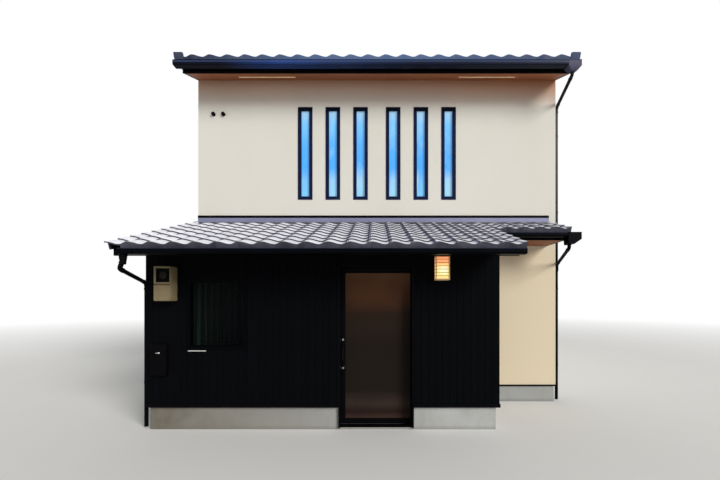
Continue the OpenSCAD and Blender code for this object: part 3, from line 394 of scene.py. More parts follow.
def tile_finish():
    """Smoked clay, dark on noses, rises and hanging faces, with a painted bluish sky tint where it faces
    up, a painted sky highlight where it lies open to the sky, and painted shade on the upper eaves.
    """
    f = Finish("smoked_tile", (51, 51, 61), 0.4, specular=0.12)
    # Painted bluish sky tint where faces turn up.
    f.tint(f.faces("Z", 0.3, 0.7), (56, 64, 100))
    # Painted shade on the upper eaves' hanging faces, eased by painted light from the left end towards
    # the middle and right.
    painted_upper_eave_shade = f.band("Z", (4.6, 5.0), (5.5, 6.4), after=0.3)
    f.tint(painted_upper_eave_shade, (24, 36, 62))
    f.tint(f.both(painted_upper_eave_shade, f.band("X", (-2.9, -0.8), (0.6, 2.8), after=0.3)), (82, 108, 152))
    # Painted sky highlight where faces turn up and to the left, leaning further towards the right of the
    # house.
    lean = f.node("ShaderNodeMath", {0: f.facing("X"), 1: f.along("X", -0.2, 1.4, 0.0, 0.04)},
                  operation="ADD")
    painted_sky_highlight = f.both(f.faces("Z", 0.78, 0.86), f.spread(lean.outputs[0], -0.43, -0.36))
    f.tint(painted_sky_highlight, (241, 241, 248))
    # The painted highlight is dimmed on the upper roofs.
    f.tint(f.both(painted_sky_highlight, f.along("Z", 4.2, 5.2, 0.0, 0.85)), (190, 194, 207))
    f.tint(f.islands(0.0, 0.16), (120, 122, 140))
    f.mottle(7.0, 0.4, 0.7, 0.12, (150, 150, 164))
    f.mottle(60.0, 0.5, 0.75, 0.2, (80, 82, 96), detail=3.0)
    f.uniform({"Coat Weight": 0.1, "Coat Roughness": 0.25})
    f.wear(f.noise(14.0), 0.34, 0.5)
    return f.bump(f.noise(160.0, detail=4.0), 0.0008, 0.5).material


def trim_finish(name, rgb, roughness, lighter, specular=0.3):
    f = Finish(name, rgb, roughness, specular=specular)
    f.mottle(5.0, 0.4, 0.75, 0.6, lighter)
    return f.coated(roughness - 0.07, roughness + 0.1)


def upper_gutter_finish():
    """Black with a painted blue sheen that is strongest left of the middle, painted shade underneath, a
    ridge with a painted highlight line, and a lip in painted shade.
    """
    f = Finish("blue_black_gutter", (14, 18, 28), 0.3, specular=0.06)
    # Painted blue sheen, strongest left of the middle.
    f.ramp(f.along("X", -3.1, 3.1), (0.0, (8, 10, 18)), (0.13, (12, 16, 34)), (0.26, (36, 62, 122)),
           (0.4, (36, 52, 88)), (0.6, (24, 28, 46)), (1.0, (34, 37, 50)))
    f.mottle(5.0, 0.4, 0.75, 0.35, (14, 20, 38), (0.3, 1, 1))
    # Painted shade on faces that turn down.
    f.tint(f.faces("Z", -0.75, -0.3, 0.3, 0.0), (6, 7, 11))
    # A ridge with a painted highlight line along it.
    line = f.band("Z", (5.304, 5.310), (5.318, 5.324), top=0.4)
    f.tint(line, (84, 108, 164))
    # Painted shade along the lip under the tiles.
    f.tint(f.along("Z", 5.324, 5.332, 0.0, 0.8), (3, 4, 8))
    f.bump(line, 0.004, 0.6)
    return f.coated(0.25, 0.4)


def pipe_finish():
    """Black, greyed by painted light from about halfway up to just under the gutter."""
    f = Finish("rain_pipe", (4, 5, 8), 0.4, specular=0.03)
    # Painted light greys the pipe from halfway up, fading out just under the gutter.
    f.tint(f.band("Z", (2.5, 3.9), (4.85, 5.0), after=0.15), (92, 87, 83))
    f.mottle(12.0, 0.4, 0.75, 0.3, (24, 22, 22), (1, 1, 0.2))
    return f.coated(0.35, 0.5)


def frame_finish():
    """Dark blue on the upper windows, black on the windows below, with painted shade at the upper
    windows' heads.
    """
    f = Finish("window_frame", (21, 27, 56), 0.4, specular=0.02)
    f.mottle(5.0, 0.4, 0.75, 0.6, (26, 33, 66))
    f.tint(f.along("Z", 2.5, 2.7, 1.0, 0.0), (3, 4, 6))
    # Painted shade of the eave on the upper windows' heads.
    f.tint(f.along("Z", 4.86, 4.90, 0.0, 0.8), (6, 7, 12))
    return f.coated(0.35, 0.5)


def sheet_finish():
    f = Finish("grey_flashing", (116, 119, 146), 0.5, 0.1, 0.4)
    f.mottle(6.0, 0.4, 0.7, 0.6, (130, 132, 158), (0.4, 1, 1))
    f.wear(f.noise(25.0), 0.38, 0.58)
    return f.bump(f.noise(12.0, (0.5, 1, 1)), 0.002, 0.3).material


def timber_finish(name, light, dark, along, board=0.0, roughness=0.6):
    """Wood with its grain along an axis, and joints between boards of a given width."""
    f = Finish(name, light, roughness, specular=0.3)
    stretch = {"X": (0.06, 1, 1), "Y": (1, 0.06, 1)}[along]
    grain = f.noise(34.0, stretch, 6.0, 0.6)
    f.tint(f.spread(grain, 0.38, 0.68, 0.0, 0.85), dark)
    f.mottle(4.0, 0.4, 0.7, 0.4, dark, stretch)
    if board:
        across = f.part_of(f.place, "Y" if along == "X" else "X")
        saw = f.node("ShaderNodeMath", {0: across, 1: board / 2}, operation="PINGPONG")
        joint = f.spread(saw.outputs[0], 0.0, 0.003, 1.0, 0.0)
        f.tint(joint, dark, dim=0.35)
        f.bump(f.spread(joint, 0.0, 1.0, 1.0, 0.0), 0.003, 0.8)
    f.wear(grain, roughness - 0.1, roughness + 0.1)
    return f.bump(grain, 0.001, 0.5).material


def slit_glass_finish():
    """Blue glass with a painted sky reflection, paler along its foot, and a faint painted glow."""
    f = Finish("blue_glass", (90, 170, 245), 0.04, specular=0.5)
    height = f.along("Z", 3.46, 4.91)
    # Painted sky reflection, changing with height, with pale patches.
    f.ramp(height, (0.0, (70, 180, 236)), (0.25, (44, 154, 240)), (0.6, (64, 160, 238)),
           (0.85, (104, 184, 243)), (1.0, (160, 208, 240)))
    f.mottle(2.6, 0.52, 0.72, 0.4, (176, 214, 240), (1, 1, 0.6))
    # Painted reflection, paler along the foot.
    f.tint(f.both(f.spread(height, 0.20, 0.34, 1.0, 0.0), f.islands(0.1, 0.8)), (178, 212, 214))
    # Painted glow, though the glass is no lamp.
    f.glow(0.22)
    f.uniform({"Coat Weight": 0.4, "Coat Roughness": 0.02})
    return f.bump(f.noise(1.2), 0.002, 0.1).material


def pane_finish():
    """Dark glass that lets a little of the curtain show."""
    f = Finish("clear_pane", (3, 4, 5), 0.05, specular=0.03)
    f.mottle(2.0, 0.4, 0.7, 0.4, (5, 8, 9))
    f.uniform({"Alpha": 0.62})
    return f.bump(f.noise(1.5), 0.002, 0.1).material


def door_glass_finish():
    """Frosted brown glass, warmer towards its top."""
    f = Finish("frosted_brown_glass", (46, 32, 25), 0.42, specular=0.05)
    f.ramp(f.along("Z", 0.1, 2.08), (0.0, (66, 48, 42)), (0.045, (38, 25, 22)), (0.10, (54, 43, 38)),
           (0.19, (30, 24, 20)), (0.5, (27, 22, 18)), (0.72, (40, 28, 21)), (0.85, (78, 48, 31)),
           (1.0, (100, 68, 47)))
    f.mottle(1.7, 0.45, 0.7, 0.35, (30, 24, 20))
    frost = f.noise(420.0, detail=2.0)
    f.wear(frost, 0.36, 0.5)
    return f.bump(frost, 0.0006, 0.5).material


def metal_finish(name, rgb, roughness, along=(1, 1, 0.05)):
    f = Finish(name, rgb, roughness, 1.0)
    brushed = f.noise(160.0, along, 4.0)
    f.tint(f.spread(brushed, 0.4, 0.7, 0.0, 0.5), rgb, dim=0.75)
    f.wear(brushed, roughness - 0.08, roughness + 0.1)
    return f.bump(brushed, 0.0003, 0.4).material


def lamp_finish():
    """Paper lit from inside: orange at its top, brightest under its middle."""
    f = Finish("lit_shade", (255, 226, 170), 0.6, specular=0.1)
    f.ramp(f.along("Z", 1.98, 2.28), (0.0, (252, 206, 140)), (0.27, (255, 240, 140)),
           (0.45, (255, 232, 160)), (0.6, (255, 214, 132)), (0.72, (250, 172, 112)),
           (1.0, (244, 158, 112)))
    f.mottle(60.0, 0.45, 0.7, 0.15, (246, 195, 130))
    bulb = (0.845, -1.379, 2.095)
    f.tint(f.near(bulb, 0.01, 0.075), (255, 252, 214))
    f.glow(0.8)
    return f.bump(f.noise(90.0), 0.0008, 0.4).material


def plastic_finish(name, rgb, shade, roughness=0.45, specular=0.2):
    f = Finish(name, rgb, roughness, specular=specular)
    f.mottle(8.0, 0.4, 0.75, 0.6, shade)
    f.mottle(45.0, 0.55, 0.8, 0.4, shade, (1, 1, 0.2))
    f.wear(f.noise(40.0), roughness - 0.08, roughness + 0.12)
    return f.bump(f.noise(260.0, detail=2.0), 0.0003, 0.4).material


def cloth_finish():
    """Pale green cloth with painted shade on the sides of its folds that turn right and towards the
    right, and painted light on one fold at the left.
    """
    f = Finish("curtain_cloth", (190, 240, 215), 0.9, specular=0.1)
    # Painted shade on the sides of folds that turn right.
    f.tint(f.faces("X", -0.45, 0.15, 0.0, 0.92), (34, 42, 40))
    weave = f.noise(700.0, (1, 1, 0.5), 1.0)
    f.tint(f.spread(weave, 0.4, 0.65, 0.0, 0.3), (62, 76, 70))
    # Painted shade towards the right.
    f.tint(f.along("X", -2.36, -2.12, 0.0, 0.85), (38, 50, 52))
    # Painted light on one fold at the left, strongest low down.
    lit_fold = f.band("X", (-2.480, -2.455), (-2.44, -2.42))
    f.tint(f.both(lit_fold, f.along("Z", 1.0, 1.9, 1.0, 0.5)), (170, 255, 232))
    f.uniform({"Sheen Weight": 0.1})
    return f.bump(weave, 0.0006, 0.6).material


BOARDS = board_finish()
TILE = tile_finish()
TRIM = trim_finish("black_trim", (6, 6, 9), 0.45, (10, 10, 13), 0.03)
PIPE = pipe_finish()
# Painted highlight: the gutters' rims are lighter and bluer than the black gutters.
RIM = trim_finish("gutter_rim", (34, 42, 66), 0.35, (48, 60, 92), 0.08)
RAIN_BOX = trim_finish("rain_box", (66, 66, 88), 0.4, (48, 50, 70), 0.1)
CLOTH = cloth_finish()
STEEL = metal_finish("brushed_steel", (170, 168, 165), 0.35)
DARK_STEEL = metal_finish("dark_steel", (34, 34, 38), 0.45)
BRIGHT = metal_finish("letter_bar", (236, 236, 232), 0.35, (0.05, 1, 1))
LIGHT_WOOD = timber_finish("lamp_wood", (240, 202, 156), (222, 176, 128), "X")
SLAT_WOOD = timber_finish("slat_wood", (150, 98, 56), (120, 76, 42), "X")
# The meter's beige is darkened here as painted shade of the eave.
METER = plastic_finish("meter_case", (122, 111, 84), (106, 90, 58))
METER_DARK = plastic_finish("meter_glass", (30, 26, 24), (40, 34, 28), 0.35, 0.06)
METER_SEAM = plastic_finish("meter_seam", (84, 66, 40), (72, 52, 30))
DARK_CASE = plastic_finish("dark_case", (5, 5, 7), (8, 8, 11), 0.5, 0.03)

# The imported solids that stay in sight
KEPT = (
    (concrete_finish(), ("ground_slab", "side_foundations", "cross_foundations")),
    (BOARDS, ("front_wall_left", "front_wall_right", "front_wall_head", "front_side_walls")),
    (plaster_finish(), ("gable_walls", "lower_front_wall", "upper_front_wall", "back_wall")),
    (TRIM, ("drip_flashings", "front_soffit", "fascias", "barge_boards", "door_frame", "door_rail",
            "door_leaf", "cable_caps")),
    (timber_finish("roof_boards", (158, 97, 62), (122, 71, 45), "X", 0.0, 0.65),
     ("front_roof_deck", "side_roof_deck", "roof_deck_front", "roof_deck_back")),
    (timber_finish("brown_soffit", (158, 97, 62), (122, 71, 45), "X"), ("side_soffit",)),
    (timber_finish("floor_boards", (176, 144, 102), (140, 108, 72), "Y", 0.09), ("upper_floor",)),
    (plastic_finish("vent_strip", (255, 226, 180), (236, 200, 150)), ("soffit_vents",)),
    (trim_finish("black_gutter", (4, 5, 9), 0.35, (7, 9, 14), 0.02), ("lower_gutters",)),
    (metal_finish("curtain_rail", (190, 184, 172), 0.4, (0.05, 1, 1)), ("curtain_rail",)),
    (upper_gutter_finish(), ("upper_gutters",)), (sheet_finish(), ("wall_flashing",)),
    (frame_finish(), ("window_frames",)), (slit_glass_finish(), ("slit_window_glass",)),
    (pane_finish(), ("window_glass",)), (door_glass_finish(), ("door_glass",)),
    (lamp_finish(), ("lamp_shade",)),
)
for finish, names in KEPT:
    for node_name in names:
        mesh = nodes[node_name].data
        mesh.materials.clear()
        mesh.materials.append(finish)


# Roof tiles

TILE_H, TILE_WAVE, TILE_T, TILE_LAP, TILE_DROP = 0.082, 0.031, 0.014, 0.060, 0.008
NOSE_ROUND, SEAM, COURSE_GAP, SKIRT_T = 0.004, 0.0016, 0.0015, 0.018

# Shares of a tile's width: its trough, the lip over its left neighbour, and where it dips on its right
TROUGH_AT, SIDE_LIP, DIP_FROM, DIP_OVER = 0.64, 0.07, 0.86, 0.06

# How far a tile may lie off its place, along the slope and in height
SLIP, LIFT = 0.0015, 0.0006


def tile_top(u):
    """Height of a tile's surface over the deck; u runs from one roll's crest to the next."""
    u = u % 1.0
    turn = math.pi * (u / TROUGH_AT if u < TROUGH_AT else 1 + (u - TROUGH_AT) / (1 - TROUGH_AT))
    return TILE_H - TILE_WAVE / 2 * (1 - math.cos(turn))


def smooth(t):
    t = min(1.0, max(0.0, t))
    return t * t * (3 - 2 * t)


class Slope:
    """Places points given along the eave, up the slope and square to the deck."""

    def __init__(self, x, nose, angle, turned=False):
        self.x, self.nose, self.turned = x, nose, turned
        self.cos, self.sin = math.cos(angle), math.sin(angle)

    def __call__(self, points):
        x, along, over = np.moveaxis(np.asarray(points, float), -1, 0)
        y = self.nose[0] + along * self.cos - over * self.sin
        z = self.nose[1] + along * self.sin + over * self.cos
        return np.stack([x + self.x, HOUSE_D - y if self.turned else y, z], -1)


def tilt_of(run):
    """The angle that lifts a tile's nose onto the course below."""
    return math.atan((TILE_T + COURSE_GAP) / run)


def add_tile(shape, slope, x0, width, span, y0, length, tilt, lift=0.0):
    """One wave tile: a lip over its left neighbour, a rounded nose, and a low right edge.

    It runs over a span of u, which is cut short at the ends of a row.
    """
    cut_left, cut_right = span[0] > -SIDE_LIP, span[1] < 1.0
    across = []
    for u in np.linspace(*span, 17):
        dip = 0.0 if cut_right else (TILE_T + SEAM) * smooth((u - DIP_FROM) / DIP_OVER)
        x = x0 + u * width + (SEAM / 2 if cut_left and u == span[0] else 0.0)
        across.append((x, tile_top(u) - dip + lift))
    rows = ((0.0, NOSE_ROUND), (0.0015, 0.0014), (NOSE_ROUND, 0.0), (length * 0.5, 0.0), (length, 0.0))
    face = np.array([[(x, y0 + y, z - y * math.tan(tilt)) for x, z in across] for y, _ in rows])
    nose = [[(0.0, 0.0, drop)] for _, drop in rows]
    shape.plate(slope(face - nose), slope(face - (0.0, 0.0, TILE_T)))


def add_eave_plate(shape, slope, x0, width, span):
    """The flat plate in front of an eave tile, straight along its foot."""
    squeeze = 1 - SEAM / ((span[1] - span[0]) * width)
    middle = (span[0] + span[1]) / 2
    across = [(x0 + (middle + (u - middle) * squeeze) * width, tile_top(u) - 0.004)
              for u in np.linspace(*span, 13)]
    chamfer, thick = 0.003, 0.020
    front = [[(x, chamfer, -TILE_DROP) for x, _ in across],
             [(x, 0.0, chamfer - TILE_DROP) for x, _ in across],
             [(x, 0.0, top) for x, top in across]]
    shape.plate(slope(front), slope([[(x, thick, z) for x, _, z in row] for row in front]))


def tile_field(shape, slope, columns, width, rows, run, rng, plates_from=0.0, lead=0.0):
    """Lapped courses of wave tiles, each tile a little off its place."""
    tilt = tilt_of(run)
    column_w = width / columns
    for column in range(-1 if lead else 0, columns):
        x0 = (column + lead) * column_w
        start, end = max(0.0, -x0 / column_w), min(1.0, (width - x0) / column_w)
        edge = column in (-1, 0) and x0 <= 0.0
        span = (start if edge else -SIDE_LIP, end - (SEAM / 2 / column_w if column == columns - 1 else 0))
        for row in range(rows):
            slip, lift = rng.uniform(-SLIP, SLIP), rng.uniform(-LIFT, LIFT)
            add_tile(shape, slope, x0, column_w, span, row * run + slip, run + TILE_LAP, tilt, lift)
        plate_start = max(start, (plates_from - x0) / column_w)
        if plate_start < end - 0.05:
            add_eave_plate(shape, slope, x0, column_w, (plate_start, end))


def add_skirts(shape, slope, x0, x1, rows, run, first_from):
    """Hanging edges of the verge tiles, one a course."""
    for row in range(rows):
        foot = row * run
        y0 = foot + (first_from if row == 0 else 0.0)
        y1 = foot + run - 0.002 + (TILE_LAP if row == rows - 1 else 0.0)
        shape.hexa(slope([(x, y, z - (y - foot) * math.tan(tilt_of(run)))
                          for z in (-0.018, TILE_H - 0.006) for x, y in rectangle(x0, y0, x1, y1)]))


# The deep roof over the front room and the shallow one right of it: nose, left end, width, columns,
# rows, where the eave's plates start, and its skirts as side, rows and start
LOWER_FIELDS = (
    (FRONT_NOSE, -3.0645, 4.744, 19, 9, 0.170, (("left", 9, 0.050), ("right", 6, 0.050))),
    (SIDE_NOSE, 1.6815, 1.214, 5, 3, 0.0, (("right", 3, 0.079),)),
)


def lower_roof(rng):
    shape = Shape()
    wall_gap = TILE_H * math.tan(FRONT_ANGLE)
    for nose, x, width, columns, rows, plates_from, skirts in LOWER_FIELDS:
        slope = Slope(x, nose, FRONT_ANGLE)
        run = (-nose[0] / math.cos(FRONT_ANGLE) - wall_gap - TILE_LAP) / rows
        tile_field(shape, slope, columns, width, rows, run, rng, plates_from)
        for side, skirt_rows, first_from in skirts:
            x0 = 0.0 if side == "left" else width - SKIRT_T
            add_skirts(shape, slope, x0, x0 + SKIRT_T, skirt_rows, run, first_from)
    shape.finish("lower_roof_wave_tiles", TILE, "roof_tile", ["lower_roof_tiles"])


MAIN_COLUMNS, MAIN_ROWS, MAIN_LEAD = 22, 19, 0.45
VERGE_X = 2.9435


def add_verge_tile(shape, slope, side, y0, length, tilt, skirt_from):
    """A flat verge tile with a rolled outer edge and a hanging skirt."""
    def at(x, y, z):
        return (side * (VERGE_X + x), y0 + y, z - y * math.tan(tilt))
    flat_xs, roll_x, roll_z = (-0.02, 0.0, 0.055, 0.075), 0.106, 0.049
    top = [[at(x, y, 0.051 + lift) for x in flat_xs]
           for y, lift in ((0.0, -0.003), (0.004, 0.0), (length, 0.0))]
    low = [[at(x, y, 0.037) for x in flat_xs] for y in (0.0, 0.004, length)]
    shape.plate(slope(top), slope(low))
    shape.skin([slope([at(roll_x + a, y, roll_z + b) for a, b in circle(radius, 24)])
                for y, radius in ((0.0, 0.040), (0.006, 0.046), (length, 0.041))])
    skirt = rectangle(0.128, skirt_from, 0.153, length - TILE_LAP - 0.002)
    shape.hexa(slope([at(x, y, z) for z in (-0.060, 0.050) for x, y in skirt]))


def add_verge_end(shape, slope, side):
    """The upright plate that closes a verge's lower end, with rounded upper corners."""
    low, high, foot, top, corner = 0.004, 0.147, -0.004, 0.111, 0.016
    outline = ([(low, foot), (high, foot)] + quarter(high - corner, top - corner, corner, 0, 3)
               + quarter(low + corner, top - corner, corner, 90, 3))
    middle_x, middle_z = (low + high) / 2, (foot + top) / 2
    shape.skin([slope([(side * (VERGE_X + x - math.copysign(inset, x - middle_x)), y,
                        z - math.copysign(inset, z - middle_z)) for x, z in outline])
                for y, inset in ((-0.0025, 0.004), (0.001, 0.0), (0.020, 0.0))])


def upper_roof(name, turned, rng):
    shape = Shape()
    length = (RIDGE_Y - 0.050 - MAIN_NOSE[0]) / math.cos(MAIN_ANGLE) - TILE_H * math.tan(MAIN_ANGLE)
    run = (length - TILE_LAP) / MAIN_ROWS
    tilt = tilt_of(run)
    slope = Slope(-VERGE_X, MAIN_NOSE, MAIN_ANGLE, turned)
    tile_field(shape, slope, MAIN_COLUMNS, 2 * VERGE_X, MAIN_ROWS, run, rng, lead=MAIN_LEAD)
    middle = Slope(0.0, MAIN_NOSE, MAIN_ANGLE, turned)
    for side in (-1, 1):
        add_verge_end(shape, middle, side)
        for row in range(MAIN_ROWS):
            long = run + TILE_LAP - (0.075 if row == MAIN_ROWS - 1 else 0.0)
            add_verge_tile(shape, middle, side, row * run, long, tilt, 0.069 if row == 0 else 0.0)
    shape.finish(name, TILE, "roof_tile", ["upper_roof_tiles"])


def ridge_tiles():
    """Three courses of flat tiles and a round cap, all in short lengths."""
    shape = Shape()
    x_end, pitch, base, step = 3.0985, 0.3099, 7.0905, 0.0245
    count = round(2 * x_end / pitch)
    for end, half, foot in ((x_end, 0.044, 7.031), (x_end - 0.01, 0.094, 7.052)):
        shape.box((-end, RIDGE_Y - half, foot), (end, RIDGE_Y + half, base + 0.001))
    for level, half in enumerate((0.110, 0.104, 0.098)):
        shift = pitch / 2 if level % 2 else 0.0
        joints = {-x_end + shift + k * pitch for k in range(1 - level % 2, count)}
        edges = sorted({-x_end, x_end} | joints)
        for a, b in zip(edges, edges[1:]):
            z = base + level * step
            shape.box((a + 0.001, RIDGE_Y - half, z), (b - 0.001, RIDGE_Y + half, z + step - 0.003))
    cap_z, radius = 7.1627, 0.0845
    arc = np.linspace(0.0, math.pi, 21)
    for k in range(count):
        a, b = -x_end + k * pitch, -x_end + (k + 1) * pitch - 0.001
        shape.skin([[(x, RIDGE_Y - r * math.cos(t), cap_z + r * math.sin(t)) for t in arc]
                    + [(x, RIDGE_Y + way * r * 0.7, cap_z - 0.01) for way in (1, -1)]
                    for x, r in ((a, radius - 0.003), (a + 0.003, radius), (a + 0.030, radius),
                                 (a + 0.034, radius - 0.006), (b, radius - 0.007))])
    end_t = 0.012
    for x in (-x_end, x_end - end_t):
        shape.disc((x, RIDGE_Y, cap_z), 0.085, end_t, "x", 32)
    shape.finish("ridge_caps", TILE, "roof_tile", ["ridge"], bevel=0.0015)


# Boards

BOARD_PITCH, BOARD_GAP, BOARD_OUT, BOARD_IN = 0.09298, 0.004, 0.004, 0.008


def front_boards():
    """Upright boards across the front room, left out where its openings are."""
    shape = Shape()
    top, narrowest = 2.4135, 0.02
    edges = {*np.arange(ROOM_X0 - BOARD_OUT, ROOM_X1, BOARD_PITCH), ROOM_X1 + BOARD_OUT}
    for x0, x1, _, _ in (DOORWAY, WINDOW):
        edges = {e for e in edges if min(abs(e - x0), abs(e - x1)) > narrowest} | {x0, x1}
    edges = sorted(edges)
    for a, b in zip(edges, edges[1:]):
        spans = [(ROOM_BASE_TOP, top)]
        for x0, x1, z0, z1 in (DOORWAY, WINDOW):
            if x0 < (a + b) / 2 < x1:
                spans = [(ROOM_BASE_TOP, z0), (z1, top)]
        for low, high in spans:
            if low < high:
                shape.box((a + BOARD_GAP / 2, ROOM_Y - BOARD_OUT, low),
                          (b - BOARD_GAP / 2, ROOM_Y + BOARD_IN, high))
    shape.finish("front_boards", BOARDS, "boards", bevel=0.0015)


def side_boards():
    shape = Shape()
    deck_z, deck_t, gap = 2.9621, 0.090, 0.004
    side_deck_y, side_deck_z = -0.55, 2.618

    def under(y, right):
        """How high a board reaches under the deep roof's deck, or at the right the shallow one's."""
        deep = deck_z + math.tan(FRONT_ANGLE) * y - deck_t - gap
        return min(deep, side_deck_z) if right and y > side_deck_y else deep

    for outer, inner, end in ((ROOM_X0 - BOARD_OUT, ROOM_X0 + BOARD_IN, 0.0),
                              (ROOM_X1 + BOARD_OUT, ROOM_X1 - BOARD_IN, -0.001)):
        start = ROOM_Y + BOARD_IN + 0.001
        count = round((end - start) / BOARD_PITCH)
        pitch = (end - start) / count
        for k in range(count):
            y0, y1 = start + k * pitch + BOARD_GAP / 2, start + (k + 1) * pitch - BOARD_GAP / 2
            z0, z1 = under(y0, outer > 0), under(y1, outer > 0)
            x0, x1 = sorted((outer, inner))
            foot = rectangle(x0, y0, x1, y1)
            shape.hexa([(x, y, ROOM_BASE_TOP) for x, y in foot]
                       + [(x, y, z) for (x, y), z in zip(foot, (z0, z0, z1, z1))])
    shape.finish("side_boards", BOARDS, "boards", bevel=0.0015)


# Pipes

PIPE_R = 0.025


def pipe(shape, points):
    """A rain pipe with rounded bends, and a socket ring at both ends of each bend."""
    bend, ring_at, ring_half = 0.070, 0.075, 0.014
    shape.tube(rounded_path(points, bend), PIPE_R)
    points = np.asarray(points, float)
    for others in (points[:-2], points[2:]):
        for corner, other in zip(points[1:-1], others):
            ends = [corner + unit(other - corner) * (ring_at + half) for half in (-ring_half, ring_half)]
            shape.tube(ends, PIPE_R + 0.004)


def funnel(shape, top, height):
    """The flared top of a pipe under its gutter."""
    x, y, z = top
    steps = [(0.0, 0.045), (0.012, 0.045), (0.016, 0.041), (height - 0.02, 0.031), (height, 0.030)]
    shape.skin([[(x + a, y + b, z - d) for a, b in circle(r, 28)] for d, r in steps])


def clip(shape, x, y, z, toward):
    """A band round the pipe and the arm that holds it to the wall."""
    shape.tube([(x, y, z), (x, y, z + 0.026)], PIPE_R + 0.003)
    (way_x, way_y), arm, half = toward, 0.0615, 0.009
    x0, x1 = sorted((x, x + way_x * arm)) if way_x else (x - half, x + half)
    y0, y1 = sorted((y, y + way_y * arm)) if way_y else (y - half, y + half)
    shape.box((x0, y0, z + 0.003), (x1, y1, z + 0.023))


# Where each upper pipe leaves its gutter, where it stands, and the way to its wall
FRONT_PIPE = ((2.9735, -0.556), (3.0755, 0.090), (-1, 0))
BACK_PIPE = ((2.8635, HOUSE_D + 0.556), (2.8635, HOUSE_D + 0.062), (0, -1))


def downpipes():
    shape = Shape()
    foot, clips = 0.020, (0.600, 1.900, 3.200, 4.500)

    z = 5.2641
    for (top_x, top_y), (x, y), wall in (FRONT_PIPE, BACK_PIPE):
        funnel(shape, (top_x, top_y, z), 0.070)
        pipe(shape, [(top_x, top_y, z - 0.045), (top_x, top_y, z - 0.120), (x, y, z - 0.265),
                     (x, y, foot)])
        for clip_z in clips:
            clip(shape, x, y, clip_z, wall)

    # The side gutter's branch into the front pipe
    (neck_x, neck_y, neck_z), (x, y) = (2.8645, -0.666, 2.540), FRONT_PIPE[1]
    pipe(shape, [(neck_x, neck_y, neck_z + 0.002), (neck_x, neck_y, neck_z - 0.050),
                 (x - 0.010, y - 0.040, neck_z - 0.222), (x, y, neck_z - 0.300)])
    shape.tube([(x, y, neck_z - 0.335), (x, y, neck_z - 0.185)], PIPE_R + 0.008)

    # The front room's pipe
    (top_x, top_y, z), (x, y) = (-2.8645, -1.916, 2.2256), (-3.1065, -1.163)
    funnel(shape, (top_x, top_y, z), 0.110)
    pipe(shape, [(top_x - 0.010, top_y, z - 0.085), (top_x - 0.040, top_y, z - 0.160),
                 (x, y, z - 0.285), (x, y, foot)])
    for clip_z in clips[:2]:
        clip(shape, x, y, clip_z, (1, 0))
    shape.finish("rain_pipes", PIPE, "trim", ["downpipes"])


# Fittings

def rounded_case(shape, low, high, radius, steps=4):
    """A box whose four front-to-back edges and front rim are rounded."""
    (x0, y0, z0), (x1, y1, z1) = low, high
    corners = rectangle(x0 + radius, z0 + radius, x1 - radius, z1 - radius)

    def loop(inset, y):
        return [(x, y, z) for start, (cx, cz) in zip((0, 90, 180, 270), corners[2:] + corners[:2])
                for x, z in quarter(cx, cz, radius - inset, start, steps)]

    soft = radius * 0.5
    shape.skin([loop(0.0, y1), loop(0.0, y0 + soft), loop(soft * 0.3, y0 + soft * 0.3), loop(soft, y0)])


def meter():
    """An electricity meter's case: a deep body, a sunk window, a lower cover and its seam."""
    case = Shape()
    x0, x1, y0, z0, z1 = -2.8475, -2.6305, -1.423, 1.700, 2.147
    rounded_case(case, (x0, y0 + 0.012, z0), (x1, ROOM_Y, z1), 0.016)
    wx0, wx1, wz0, wz1 = x0 + 0.032, x1 - 0.011, z1 - 0.207, z1 - 0.030
    seam = z0 + 0.205
    cx0, cx1, cz0, cz1 = x0 + 0.006, x1 - 0.006, seam + 0.016, z1 - 0.006
    for ax, az, bx, bz in ((cx0, cz0, wx0, cz1), (wx1, cz0, cx1, cz1), (wx0, wz1, wx1, cz1),
                           (wx0, cz0, wx1, wz0), (cx0, z0 + 0.006, cx1, seam - 0.003)):
        case.box((ax, y0, az), (bx, y0 + 0.02, bz))
    for x in (x0 + 0.022, x1 - 0.022):
        case.disc((x, y0 + 0.001, z0 + 0.024), 0.006, 0.003, "y", 16)
    case.finish("meter_case", METER, "meter", ["meter_box"], bevel=0.002)
    band = Shape()
    band.box((x0 + 0.008, y0 + 0.004, seam - 0.002), (x1 - 0.008, y0 + 0.02, seam + 0.015))
    band.finish("meter_seam", METER_SEAM, "meter", bevel=0.001)
    window = Shape()
    gap, rim = 0.001, 0.016
    ax0, ax1, az0, az1 = wx0 + gap, wx1 - gap, wz0 + gap, wz1 - gap
    window.box((ax0, y0 + 0.0115, az0), (ax1, y0 + 0.016, az1))
    for low_x, low_z, high_x, high_z in ((ax0, az0, wx0 + rim, az1), (wx1 - rim, az0, ax1, az1),
                                         (ax0, wz1 - rim, ax1, az1), (ax0, az0, ax1, wz0 + rim)):
        window.box((low_x, y0 + 0.004, low_z), (high_x, y0 + 0.015, high_z))
    window.finish("meter_window", DARK_CASE, "meter", bevel=0.001)
    dial = Shape()
    cx, cz = (wx0 + wx1) / 2, (wz0 + wz1) / 2
    dial.disc((cx, y0 + 0.009, cz), 0.046, 0.003, "y", 36, 0.001)
    dial.box((cx - 0.030, y0 + 0.0065, cz - 0.002), (cx + 0.030, y0 + 0.010, cz + 0.014))
    dial.finish("meter_dial", METER_DARK, "meter")


